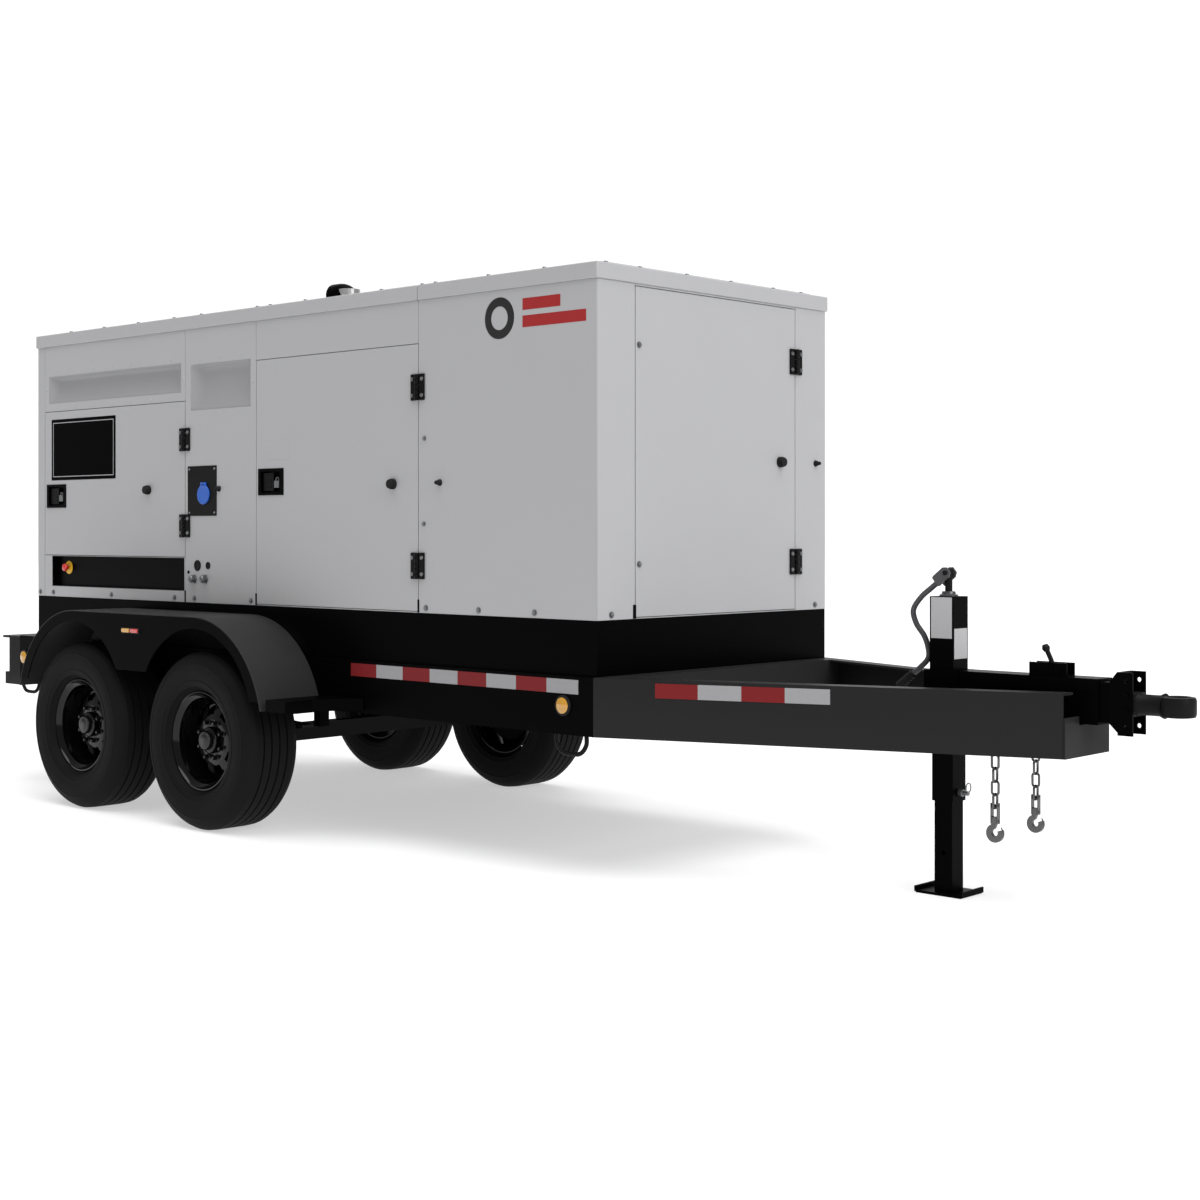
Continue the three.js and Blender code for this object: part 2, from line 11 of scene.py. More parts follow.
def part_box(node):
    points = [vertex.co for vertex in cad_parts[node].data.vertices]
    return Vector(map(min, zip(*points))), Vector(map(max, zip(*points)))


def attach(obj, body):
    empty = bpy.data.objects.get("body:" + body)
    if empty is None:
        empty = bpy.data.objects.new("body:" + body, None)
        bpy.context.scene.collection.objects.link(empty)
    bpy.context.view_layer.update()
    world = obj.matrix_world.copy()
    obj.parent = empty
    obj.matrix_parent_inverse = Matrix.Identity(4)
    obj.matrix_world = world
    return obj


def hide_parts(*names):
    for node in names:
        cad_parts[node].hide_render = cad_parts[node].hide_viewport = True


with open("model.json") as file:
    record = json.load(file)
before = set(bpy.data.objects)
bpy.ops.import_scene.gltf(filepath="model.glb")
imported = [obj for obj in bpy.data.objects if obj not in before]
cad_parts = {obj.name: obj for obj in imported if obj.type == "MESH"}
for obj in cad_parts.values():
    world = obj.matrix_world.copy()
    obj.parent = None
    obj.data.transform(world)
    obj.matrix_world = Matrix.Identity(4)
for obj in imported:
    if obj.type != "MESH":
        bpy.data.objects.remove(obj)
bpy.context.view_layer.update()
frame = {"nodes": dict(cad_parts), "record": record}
ROOT = "trailer"

# ---- places read from the frame -------------------------------------------------------------------
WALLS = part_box("enclosure_walls")
FRONT = WALLS[1].x  # the enclosure's front face
SIDE = WALLS[1].y  # half the enclosure's width
BODY_LOW, BODY_TOP = WALLS[0].z, WALLS[1].z
REAR_FACE = WALLS[0].x
RAIL_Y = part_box("frame_rail_left")[1].y
SIDES = (("right", -1), ("left", 1))
PROUD = 0.002  # sheet skins stand this far off the walls
RIGHT, UP, AHEAD = (0, -1, 0), (0, 0, 1), (1, 0, 0)


def X(t):
    """A length counted back from the enclosure's front face, as x."""
    return FRONT + t


def linked(tree, kind, inputs=(), **settings):
    """A new shader node with its settings, and with its inputs set to values or linked to sockets."""
    node = tree.nodes.new(kind)
    for key, value in settings.items():
        setattr(node, key, value)
    for key, value in dict(inputs).items():
        if isinstance(value, bpy.types.NodeSocket):
            tree.links.new(value, node.inputs[key])
        else:
            node.inputs[key].default_value = value
    return node


def material(name, color, rough, metal=0.0, noise=0.0, noise_scale=6.0, rough_var=0.0, bump=0.0,
             bump_scale=400.0, coat=0.0, specular=0.5, wear=None):
    """A paint, metal or plastic whose tone and gloss drift a little, with a fine grain and worn edges."""
    m = bpy.data.materials.new(name)
    m.use_nodes = True
    t = m.node_tree
    b = t.nodes["Principled BSDF"]
    for key, value in (("Metallic", metal), ("Specular IOR Level", specular), ("Coat Weight", coat),
                       ("Coat Roughness", 0.12), ("Roughness", rough)):
        b.inputs[key].default_value = value
    place = t.nodes.new("ShaderNodeTexCoord").outputs["Object"]
    drift = linked(t, "ShaderNodeTexNoise", {"Scale": noise_scale, "Detail": 6, "Vector": place}).outputs["Fac"]
    b.inputs["Base Color"].default_value = (*color, 1)
    out = None
    if noise:
        tones = [(*(min(1, c * (1 + k * noise)) for c in color), 1) for k in (-1, 1)]
        mix = linked(t, "ShaderNodeMix", {"Factor": drift}, data_type="RGBA")
        for key, tone in zip("AB", tones):
            mix.inputs[key].default_value = tone
        out = mix.outputs["Result"]
    if wear:
        edges = t.nodes.new("ShaderNodeNewGeometry").outputs["Pointiness"]
        ramp = linked(t, "ShaderNodeValToRGB", {"Fac": edges})
        for stop, position in zip(ramp.color_ramp.elements, (0.56, 0.66)):
            stop.position = position
        edge = linked(t, "ShaderNodeMix", {"Factor": ramp.outputs["Color"]}, data_type="RGBA")
        edge.inputs["B"].default_value = (*wear, 1)
        t.links.new(out, edge.inputs["A"])
        out = edge.outputs["Result"]
    if out:
        t.links.new(out, b.inputs["Base Color"])
    if rough_var:
        span = linked(t, "ShaderNodeMapRange", {"Value": drift, "To Min": max(0.02, rough - rough_var),
                                                "To Max": min(1, rough + rough_var)})
        t.links.new(span.outputs["Result"], b.inputs["Roughness"])
    if bump:
        grain = linked(t, "ShaderNodeTexNoise", {"Scale": bump_scale, "Detail": 3, "Vector": place})
        relief = linked(t, "ShaderNodeBump", {"Strength": bump, "Distance": 0.001, "Height": grain.outputs["Fac"]})
        t.links.new(relief.outputs["Normal"], b.inputs["Normal"])
    return m


def tape_material(name, color):
    """Retroreflective tape: a fine honeycomb of prisms under a clear film."""
    m = material(name, color, 0.35, noise=0.04, noise_scale=40, specular=0.12)
    t = m.node_tree
    place = t.nodes.new("ShaderNodeTexCoord").outputs["Object"]
    cell = linked(t, "ShaderNodeTexVoronoi", {"Vector": place}, feature="DISTANCE_TO_EDGE")
    cell.inputs["Scale"].default_value = 260
    cell.inputs["Randomness"].default_value = 0.1
    relief = linked(t, "ShaderNodeBump", {"Strength": 0.25, "Distance": 0.0005, "Height": cell.outputs["Distance"]})
    t.links.new(relief.outputs["Normal"], t.nodes["Principled BSDF"].inputs["Normal"])
    return m


WHITE = material("white_enamel", (0.40, 0.40, 0.41), 0.42, noise=0.018, noise_scale=2.5, rough_var=0.05,
                 bump=0.12, bump_scale=700, specular=0.4)
# the intake scoops: greyer than the white enamel, painted shade for the inside of the recessed intakes
SCOOP_SHADE = material("scoop_painted_shade", (0.30, 0.30, 0.308), 0.5, noise=0.02, specular=0.3,
                 bump=0.15, bump_scale=500)
BLACK = material("black_enamel", (0.0085, 0.0085, 0.0087), 0.42, noise=0.18, noise_scale=4, rough_var=0.07,
                 bump=0.14, bump_scale=600, specular=0.06, wear=(0.02, 0.02, 0.02))
SATIN = material("satin_black", (0.0011, 0.0011, 0.0012), 0.36, noise=0.18, noise_scale=4,
                 rough_var=0.07, bump=0.12, bump_scale=600, specular=0.018)
# the mudguards' top band: a lighter copy of the black paint, painted light where light falls on the top
GUARD_LIT_TOP = material("guard_top_painted_light", (0.023, 0.023, 0.0235), 0.45, noise=0.12, noise_scale=5,
                     rough_var=0.06, bump=0.12, bump_scale=600, specular=0.12)
RUBBER = material("tyre_rubber", (0.0068, 0.0068, 0.0071), 0.6, noise=0.22, noise_scale=9, rough_var=0.1,
                  bump=0.3, bump_scale=900, specular=0.06)
GLOSS = material("rim_black", (0.0015, 0.0015, 0.0015), 0.12, noise=0.1, specular=0.3)
HUB_BLACK = material("hub_black", (0.006, 0.006, 0.006), 0.22, noise=0.2, noise_scale=20, specular=0.3)
ZINC = material("zinc_steel", (0.2, 0.204, 0.21), 0.36, metal=0.85, noise=0.14, noise_scale=30, rough_var=0.1,
                bump=0.1)
DARK_STEEL = material("dark_steel", (0.11, 0.11, 0.115), 0.32, metal=0.85, noise=0.2,
                      noise_scale=25, rough_var=0.08, bump=0.08)
CHAIN_STEEL = material("chain_steel", (0.115, 0.115, 0.118), 0.3, metal=0.9, noise=0.2,
                       noise_scale=30, rough_var=0.08, bump=0.1)
HANDLE = material("crank_grey", (0.075, 0.075, 0.08), 0.38, metal=0.35, noise=0.12,
                  noise_scale=20, rough_var=0.06)
SILVER = material("heat_shield", (0.5, 0.5, 0.5), 0.35, metal=0.9, noise=0.12, noise_scale=20,
                  rough_var=0.1, bump=0.3, bump_scale=150)
PLASTIC = material("black_plastic", (0.0036, 0.0036, 0.0036), 0.34, specular=0.1, noise=0.2, noise_scale=20,
                   rough_var=0.06, bump=0.2, bump_scale=900)
SOFT = material("black_rubber", (0.010, 0.010, 0.010), 0.6, specular=0.15, noise=0.2,
                noise_scale=20, bump=0.3)
DEEP = material("recess_black", (0.0012, 0.0012, 0.0012), 0.3, specular=0.03, noise=0.2,
                noise_scale=8, rough_var=0.05)
WINDOW = material("smoked_window", (0.001, 0.001, 0.0012), 0.08, noise=0.1, specular=0.03)
DECAL_BLACK = material("decal_black", (0.006, 0.006, 0.006), 0.35, noise=0.1, noise_scale=30)
CORE = material("radiator_core", (0.04, 0.04, 0.042), 0.4, metal=0.7, noise=0.3,
                noise_scale=60, bump=0.6, bump_scale=300)
ENGINE = material("engine_grey", (0.12, 0.13, 0.14), 0.5, metal=0.3, noise=0.2, noise_scale=14, rough_var=0.1,
                  bump=0.4, bump_scale=200)
RED = material("stop_red", (0.55, 0.012, 0.008), 0.28, noise=0.08, noise_scale=30, coat=0.4)
DECAL_RED = material("decal_red", (0.32, 0.008, 0.01), 0.35, noise=0.03, noise_scale=30)
BLUE = material("inlet_blue", (0.012, 0.1, 0.48), 0.3, noise=0.1, noise_scale=40, coat=0.3)
YELLOW = material("stop_yellow", (0.75, 0.42, 0.01), 0.4, noise=0.06, noise_scale=30)
TRIM = material("window_line", (0.35, 0.35, 0.36), 0.4, noise=0.05)
LABEL = material("jack_label", (0.46, 0.46, 0.47), 0.4, noise=0.03)
TAPE_RED = tape_material("tape_red", (0.175, 0.013, 0.015))
TAPE_WHITE = tape_material("tape_white", (0.30, 0.30, 0.31))
AMBER = material("lamp_amber", (0.55, 0.27, 0.02), 0.12, noise=0.25, noise_scale=60, coat=1.0)
LAMP_RED = material("lamp_red", (0.5, 0.01, 0.01), 0.12, noise=0.2, noise_scale=60, coat=1.0)

FINISH = {
    "white_enamel": WHITE, "black_enamel": BLACK, "tyre_rubber": RUBBER, "rim_black": GLOSS, "zinc_steel": ZINC,
    "engine_grey": ENGINE, "black_plastic": PLASTIC, "stop_red": RED, "inlet_blue": BLUE,
}
SATIN_NODES = ("tank_base", "frame_rail_right", "frame_rail_left", "jack_outer_tube", "jack_screw_tube",
               "jack_drop_leg", "fender_step_right", "fender_step_left", "coupler_slide", "coupler_housing")


def finish_node(name, mat):
    """Gives a CAD node its material."""
    node = frame["nodes"][name]
    if not node.material_slots:
        node.data.materials.append(mat)
    for entry in node.material_slots:
        entry.material = mat


for part in frame["record"]["subparts"]:
    finish_node(part["node"], FINISH[part["material_slot"]])
for name in SATIN_NODES:
    finish_node(name, SATIN)
finish_node("silencer", SILVER)


# ---- mesh helpers -----------------------------------------------------------------------------------
def piece(name, bm, mat, body=ROOT, bevel=0.0, smooth=True, replaces=(), segments=2, angle=35):
    """Turns a bmesh into a finished object that rides on a body."""
    bmesh.ops.remove_doubles(bm, verts=bm.verts, dist=1e-6)
    bmesh.ops.recalc_face_normals(bm, faces=bm.faces)
    mesh = bpy.data.meshes.new(name)
    bm.to_mesh(mesh)
    bm.free()
    obj = bpy.data.objects.new(name, mesh)
    bpy.context.collection.objects.link(obj)
    mesh.materials.append(mat)
    if bevel:
        mod = obj.modifiers.new("bevel", "BEVEL")
        mod.width = bevel
        mod.segments = segments
        mod.limit_method = "ANGLE"
        mod.angle_limit = math.radians(angle)
        mod.harden_normals = False
    if smooth:
        mesh.shade_smooth()
        mesh.set_sharp_from_angle(angle=math.radians(angle))
    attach(obj, body)
    if replaces:
        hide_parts(*replaces)
    return obj


def add_box(bm, lo, hi):
    """A box between two corners, given in any order."""
    centre = [(a + b) / 2 for a, b in zip(lo, hi)]
    size = [abs(b - a) for a, b in zip(lo, hi)]
    bmesh.ops.create_cube(bm, size=1, matrix=Matrix.Translation(centre) @ Matrix.Diagonal(size + [1]))


def aim(direction):
    return Vector(UP).rotation_difference(Vector(direction)).to_matrix().to_4x4()


def round_points(count, start=0.0, stop=2 * math.pi):
    """(cosine, sine) at count angles from start, stopping short of a full turn and at stop otherwise."""
    steps = count if stop - start > 2 * math.pi - 1e-6 else count - 1
    return [(math.cos(a), math.sin(a)) for a in (start + (stop - start) * k / steps for k in range(count))]


def add_rod(bm, a, b, r, sides=24):
    a, b = Vector(a), Vector(b)
    bmesh.ops.create_cone(bm, cap_ends=True, segments=sides, radius1=r, radius2=r, depth=(b - a).length,
                          matrix=Matrix.Translation((a + b) / 2) @ aim(b - a))


def add_lathe(bm, profile, at, axis, sides=64, closed=False):
    """Turns [(radius, offset)] about axis through at."""
    m = Matrix.Translation(at) @ aim(axis)
    rings = []
    for r, h in profile:
        circle = round_points(sides) if r >= 1e-6 else [(0, 0)]
        rings.append([bm.verts.new(m @ Vector((r * c, r * s, h))) for c, s in circle])
    for a, b in list(zip(rings, rings[1:])) + ([(rings[-1], rings[0])] if closed else []):
        for i in range(sides):
            j = (i + 1) % sides
            if len(a) == 1 and len(b) > 1:
                bm.faces.new((a[0], b[i], b[j]))
            elif len(a) > 1 and len(b) == 1:
                bm.faces.new((a[i], a[j], b[0]))
            elif len(a) > 1:
                bm.faces.new((a[i], a[j], b[j], b[i]))


def add_prism(bm, outline, direction):
    """Closes an outline of points and carries it along direction."""
    d = Vector(direction)
    a = [bm.verts.new(p) for p in outline]
    b = [bm.verts.new(Vector(p) + d) for p in outline]
    bm.faces.new(a)
    bm.faces.new(list(reversed(b)))
    for i in range(len(a)):
        j = (i + 1) % len(a)
        bm.faces.new((a[i], b[i], b[j], a[j]))


def smooth_path(points, per=8):
    """A Catmull-Rom curve through points."""
    p = [Vector(q) for q in points]
    p = [p[0] * 2 - p[1]] + p + [p[-1] * 2 - p[-2]]
    out = []
    for a, b, c, d in zip(p, p[1:], p[2:], p[3:]):
        for k in range(per):
            t = k / per
            out.append(0.5 * (2 * b + (c - a) * t + (2 * a - 5 * b + 4 * c - d) * t * t
                              + (3 * b - a - 3 * c + d) * t ** 3))
    return out + [p[-2]]


def add_tube(bm, path, r, sides=14, closed=False):
    path = [Vector(p) for p in path]
    n = len(path)
    rings = []
    normal = (path[1] - path[0]).normalized().orthogonal().normalized()
    for i, p in enumerate(path):
        ahead = path[(i + 1) % n] if closed or i < n - 1 else p
        behind = path[i - 1] if closed or i else p
        t = (ahead - behind).normalized()
        normal = (normal - t * normal.dot(t)).normalized()
        side = t.cross(normal)
        rings.append([bm.verts.new(p + normal * r * c + side * r * s) for c, s in round_points(sides)])
    for a, b in list(zip(rings, rings[1:])) + ([(rings[-1], rings[0])] if closed else []):
        for k in range(sides):
            j = (k + 1) % sides
            bm.faces.new((a[k], a[j], b[j], b[k]))
    if not closed:
        bm.faces.new(list(reversed(rings[0])))
        bm.faces.new(rings[-1])


def add_bolt(bm, at, axis, r=0.0085, washer=0.013):
    """A hexagon head on a washer."""
    at, axis = Vector(at), Vector(axis).normalized()
    add_lathe(bm, [(0, 0), (washer, 0), (washer, 0.0018), (r * 1.05, 0.0022), (0, 0.0022)], at, axis, sides=20)
    add_lathe(bm, [(0, 0.002), (r, 0.002), (r, 0.0072), (r * 0.82, 0.0088), (0, 0.0088)], at, axis, sides=6)


def add_dome(bm, at, axis, r=0.006):
    add_lathe(bm, [(0, 0), (r, 0), (r * 0.85, r * 0.35), (r * 0.5, r * 0.55), (0, r * 0.62)], at, axis, sides=14)


def turned(name, mat, profile, at, axis, body=ROOT, sides=32, closed=False, **finish):
    """A piece made of one turned profile."""
    bm = bmesh.new()
    add_lathe(bm, profile, at, axis, sides, closed)
    return piece(name, bm, mat, body, **finish)


def tube(name, mat, path, r, body=ROOT, sides=14, **finish):
    """A piece made of one tube."""
    bm = bmesh.new()
    add_tube(bm, path, r, sides)
    return piece(name, bm, mat, body, **finish)


def boxes(name, mat, corners, body=ROOT, **finish):
    """A piece made of boxes between pairs of corners."""
    bm = bmesh.new()
    for lo, hi in corners:
        add_box(bm, lo, hi)
    return piece(name, bm, mat, body, **finish)


# ---- walls: place(u, v, out) is a point on a wall, at a height out off it -------------------------------
def on_side(side):
    return lambda u, v, out: (X(u), side * (SIDE + out), v)


def on_front(u, v, out):
    return (FRONT + out, u, v)


def on_rear(u, v, out):
    return (REAR_FACE - out, u, v)


ON_RIGHT = on_side(-1)


def outward(place):
    return Vector(place(0, 0, 1)) - Vector(place(0, 0, 0))


def add_block(bm, place, rect, low, high):
    """A box standing on a wall between two heights off it."""
    add_box(bm, place(rect[0], rect[2], low), place(rect[1], rect[3], high))


def blocks(name, mat, place, rects, low, high, body=ROOT, **finish):
    """A piece made of boxes that stand on a wall."""
    bm = bmesh.new()
    for rect in rects:
        add_block(bm, place, rect, low, high)
    return piece(name, bm, mat, body, **finish)


def inset(rect, d):
    return (rect[0] + d, rect[1] - d, rect[2] + d, rect[3] - d)


def rim_of(rect, w):
    """The four strips, w wide, just inside a rectangle's edge."""
    u0, u1, v0, v1 = rect
    return ((u0, u1, v0, v0 + w), (u0, u1, v1 - w, v1), (u0, u0 + w, v0, v1), (u1 - w, u1, v0, v1))


def around(at, half_u, half_v):
    return (at[0] - half_u, at[0] + half_u, at[1] - half_v, at[1] + half_v)


def plate_cells(rect, holes):
    """Cells of a rectangle (u0, u1, v0, v1) that lie outside every hole."""
    us = sorted({rect[0], rect[1]} | {h[k] for h in holes for k in (0, 1)})
    vs = sorted({rect[2], rect[3]} | {h[k] for h in holes for k in (2, 3)})
    for u0, u1 in zip(us, us[1:]):
        for v0, v1 in zip(vs, vs[1:]):
            u, v = (u0 + u1) / 2, (v0 + v1) / 2
            if not any(h[0] < u < h[1] and h[2] < v < h[3] for h in holes):
                yield u0, u1, v0, v1


def skin(name, place, rect, holes=(), body=ROOT):
    """A white sheet panel with rectangular openings and softened edges."""
    bm = bmesh.new()
    for u0, u1, v0, v1 in plate_cells(rect, holes):
        bm.faces.new([bm.verts.new(place(u, v, 0.0)) for u, v in ((u0, v0), (u1, v0), (u1, v1), (u0, v1))])
    bmesh.ops.remove_doubles(bm, verts=bm.verts, dist=1e-6)
    grown = bmesh.ops.extrude_face_region(bm, geom=list(bm.faces))
    moved = [g for g in grown["geom"] if isinstance(g, bmesh.types.BMVert)]
    bmesh.ops.translate(bm, verts=moved, vec=outward(place).normalized() * PROUD)
    return piece(name, bm, WHITE, body, bevel=0.0012)


def clip(hole, rect):
    return (max(hole[0], rect[0]), min(hole[1], rect[1]), max(hole[2], rect[2]), min(hole[3], rect[3]))


def panels(name, place, ends, openings):
    """Wall sheets between vertical seams, open where the wall is open."""
    gap = 0.0012  # half a seam
    for i, (a, b) in enumerate(zip(ends, ends[1:])):
        rect = (a + (gap if i else 0), b - (gap if i < len(ends) - 2 else 0), BODY_LOW, BODY_TOP)
        holes = [clip(h, rect) for h in openings if h[0] < rect[1] and h[1] > rect[0]]
        skin(f"{name}_{i + 1}", place, rect, holes)


# ---- camera, floor and light --------------------------------------------------------------------------
camera = bpy.data.objects.new("camera", bpy.data.cameras.new("camera"))
bpy.context.collection.objects.link(camera)
camera.location = (FRONT + 4.694, -5.816, 1.332)
camera.rotation_euler = (math.radians(90), 0, math.radians(42.63))
camera.data.lens = 54.88
camera.data.sensor_width = 36
camera.data.shift_y = -0.0581
bpy.context.scene.camera = camera
bpy.context.scene.view_settings.view_transform = "Standard"


def sun(name, strength, direction, spread):
    data = bpy.data.lights.new(name, "SUN")
    data.energy = strength
    data.angle = math.radians(spread)
    obj = bpy.data.objects.new(name, data)
    bpy.context.collection.objects.link(obj)
    obj.rotation_euler = Vector(direction).to_track_quat("-Z", "Y").to_euler()


sun("overhead", 2.6, (-0.12, 0.1, -1), 60)
sun("front_key", 1.5, (-1, 0.15, -0.55), 40)

# the studio: a bright backdrop behind the object, as the camera sees it, and a dimmer room round it
world = bpy.data.worlds.new("studio")
bpy.context.scene.world = world
world.use_nodes = True
tree = world.node_tree
direction = tree.nodes.new("ShaderNodeTexCoord").outputs["Generated"]
toward = linked(tree, "ShaderNodeVectorMath", {0: direction, 1: (-0.677, 0.736, 0)}, operation="DOT_PRODUCT")
lit = linked(tree, "ShaderNodeMapRange", {"Value": toward.outputs["Value"], "From Min": 0.45, "From Max": 0.8,
                                          "To Min": 0.33, "To Max": 1.05}, interpolation_type="SMOOTHSTEP")
tree.links.new(lit.outputs["Result"], tree.nodes["Background"].inputs["Strength"])
tree.nodes["Background"].inputs["Color"].default_value = (1, 1, 1, 1)

FLOOR = material("floor", (0.55, 0.55, 0.55), 0.9, specular=0.0)
glow = FLOOR.node_tree.nodes["Principled BSDF"]  # keeps the shadows pale
glow.inputs["Emission Color"].default_value = (1, 1, 1, 1)
glow.inputs["Emission Strength"].default_value = 0.5
bpy.ops.mesh.primitive_plane_add(size=120, location=(0, 0, 0))
floor = bpy.context.object
floor.name = "floor"
floor.data.materials.append(FLOOR)

# ---- enclosure: lengths run back from its front face, heights are off the ground ------------------------
CONTROL = (-3.934, -2.672, 1.202, 1.950)
SERVICE = (-2.116, -1.008, 0.993, 2.109)
FRONT_DOOR = (-0.518, 0.516, 0.993, 2.280)
INTAKE_WIDE = (-3.893, -2.706, 1.991, 2.132)
INTAKE_TALL = (-2.628, -2.158, 1.900, 2.118)
CONSOLE = (-3.859, -2.680, 1.044, 1.199)
INLET_PLATE = (-2.640, -2.426, 1.408, 1.628)
GRILLE = (-0.560, 0.560, 1.250, 2.150)
WINDOW_RECT = (-3.868, -3.269, 1.591, 1.907)
LATCH_CONTROL = (-3.818, 1.509)
LATCH_SERVICE = (-2.005, 1.551)
LATCH_HOLE = (0.075, 0.05)  # half sizes
REAR_END, POST = -4.0, -3.934
SEAM = 0.003  # gap round a door

panels("wall_sheet_right", ON_RIGHT, (REAR_END, POST, CONTROL[1], SERVICE[0], SERVICE[1], 0.0),
       (CONTROL, SERVICE, INTAKE_WIDE, INTAKE_TALL, CONSOLE, INLET_PLATE))
panels("wall_sheet_left", on_side(1), (REAR_END, POST, SERVICE[0], SERVICE[1], 0.0), (SERVICE,))
panels("wall_sheet_front", on_front, (-SIDE, FRONT_DOOR[0], FRONT_DOOR[1], SIDE), (FRONT_DOOR,))
panels("wall_sheet_rear", on_rear, (-SIDE, SIDE), (GRILLE,))
skin("control_door_sheet", ON_RIGHT, inset(CONTROL, SEAM), [around(LATCH_CONTROL, *LATCH_HOLE), WINDOW_RECT],
     "control_door")
for side, s in SIDES:
    skin(f"service_door_sheet_{side}", on_side(s), inset(SERVICE, SEAM), [around(LATCH_SERVICE, *LATCH_HOLE)],
         f"service_door_{side}")
skin("front_door_sheet", on_front, inset(FRONT_DOOR, SEAM), body="front_door")

# smoked window in the control door, with a light line inside its edge
blocks("control_window", WINDOW, ON_RIGHT, [inset(WINDOW_RECT, 0.0005)], -0.0075, PROUD + 0.001, "control_door",
       bevel=0.0015)
LINE_W = 0.004
low_line, high_line, *uprights = rim_of(inset(WINDOW_RECT, 0.017), LINE_W)
uprights = [(u0, u1, v0 + LINE_W, v1 - LINE_W) for u0, u1, v0, v1 in uprights]
blocks("control_window_line", TRIM, ON_RIGHT, [low_line, high_line, *uprights], PROUD + 0.0008, PROUD + 0.0014,
       "control_door", smooth=False)


def scoop(name, rect, depth=0.031, reach=0.07):
    """A moulded air intake: it runs in from the sheet's edge to a rounded floor, in a grey that paints the shade inside
    it.
    """
    across, up = 40, 14
    quarter = math.pi / 2
    bm = bmesh.new()
    grid = []
    for i in range(across + 1):
        u = rect[0] + (rect[1] - rect[0]) * (0.5 - 0.5 * math.cos(math.pi * i / across))
        ends = math.sin(min(1.0, min(u - rect[0], rect[1] - u) / reach) * quarter)
        row = []
        for j in range(up + 1):
            k = j / up
            rise = min(1.0, (1 - k) / 0.12) * min(1.0, k / 0.75) ** 0.8
            d = depth * ends * math.sin(min(1, max(0, rise)) * quarter)
            row.append(bm.verts.new(ON_RIGHT(u, rect[2] + (rect[3] - rect[2]) * k, PROUD - 0.0005 - d)))
        grid.append(row)
    for a, b in zip(grid, grid[1:]):
        for j in range(up):
            bm.faces.new((a[j], b[j], b[j + 1], a[j + 1]))
    piece(name, bm, SCOOP_SHADE).modifiers.new("thick", "SOLIDIFY").thickness = 0.0015


scoop("intake_scoop_wide", INTAKE_WIDE)
scoop("intake_scoop_tall", INTAKE_TALL)

# console recess with the stop button
bm = bmesh.new()
add_block(bm, ON_RIGHT, inset(CONSOLE, 0.0005), -0.0295, -0.027)
for strip in rim_of(CONSOLE, 0.002):
    add_block(bm, ON_RIGHT, strip, -0.0292, PROUD + 0.0008)
piece("console_liner", bm, DEEP, bevel=0.0006)


def middle_on_right(node):
    """The middle of a CAD node, carried onto the right wall."""
    lo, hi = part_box(node)
    return Vector(((lo.x + hi.x) / 2, -SIDE, (lo.z + hi.z) / 2))


STOP = middle_on_right("emergency_stop")
turned("stop_surround", YELLOW, [(0, -0.0272), (0.034, -0.0272), (0.034, -0.0252), (0.0325, -0.0244), (0, -0.0244)],
       STOP, RIGHT, sides=40)
turned("stop_mushroom", RED, [(0, -0.0184), (0.0115, -0.0184), (0.0115, -0.008), (0.0185, -0.0075), (0.0205, -0.005),
                              (0.0205, -0.001), (0.018, 0.004), (0.0115, 0.0068), (0, 0.0078)],
       STOP, RIGHT, "emergency_stop", sides=36, replaces=["emergency_stop"])

# power inlet: plate, socket with its pins, and the ribbed cap on its hinge
blocks("inlet_plate", PLASTIC, ON_RIGHT, [inset(INLET_PLATE, -0.008)], PROUD, PROUD + 0.0035, bevel=0.003)
bm = bmesh.new()
for du in (-0.1, 0.1):
    for dv in (-0.103, 0.103):
        add_dome(bm, ON_RIGHT((INLET_PLATE[0] + INLET_PLATE[1]) / 2 + du, (INLET_PLATE[2] + INLET_PLATE[3]) / 2 + dv,
                              PROUD + 0.0034), RIGHT)
piece("inlet_plate_screws", bm, ZINC)
SOCKET = middle_on_right("inlet_socket")
turned("inlet_socket_shell", BLUE, [(0, -0.03), (0.0445, -0.03), (0.0445, 0.0), (0.0455, 0.0005), (0.0455, 0.0038),
                                    (0.039, 0.0039), (0.038, -0.02), (0, -0.02)],
       SOCKET, RIGHT, sides=48, replaces=["inlet_socket"])
bm = bmesh.new()
for (c, s), r in zip(round_points(3, math.pi / 2, math.pi * 5 / 2), (0.0055, 0.0048, 0.0048)):
    foot = SOCKET + Vector((0.022 * c, 0, 0.022 * s))
    add_rod(bm, foot + Vector((0, 0.0199, 0)), foot + Vector((0, -0.001, 0)), r, 14)
piece("inlet_pins", bm, ZINC)
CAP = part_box("inlet_cap")
CAP_OUT = -SIDE - CAP[0].y
bm = bmesh.new()
add_lathe(bm, [(0, 0.0046), (0.045, 0.0046), (0.046, 0.006), (0.046, CAP_OUT - 0.0025), (0.0435, CAP_OUT),
               (0.034, CAP_OUT), (0.033, CAP_OUT - 0.0018), (0, CAP_OUT - 0.0018)], SOCKET, RIGHT, sides=48)
for c, s in round_points(12):
    rib = SOCKET + Vector((0.0445 * c, 0, 0.0445 * s))
    add_rod(bm, rib + Vector((0, -0.0052, 0)), rib + Vector((0, -CAP_OUT + 0.001, 0)), 0.003, 8)
for du in (-0.0155, 0.0155):
    u = SOCKET.x - FRONT + du
    add_block(bm, ON_RIGHT, (u - 0.004, u + 0.004, SOCKET.z + 0.036, CAP[1].z), 0.0047, CAP_OUT - 0.0005)
hinge_end = Vector((0.02, 0, 0))
hinge_mid = Vector((SOCKET.x, -SIDE - 0.0094, CAP[1].z - 0.005))
add_rod(bm, hinge_mid - hinge_end, hinge_mid + hinge_end, 0.004, 14)
piece("inlet_cap_moulding", bm, BLUE, "inlet_cap", bevel=0.0008, replaces=["inlet_cap"])

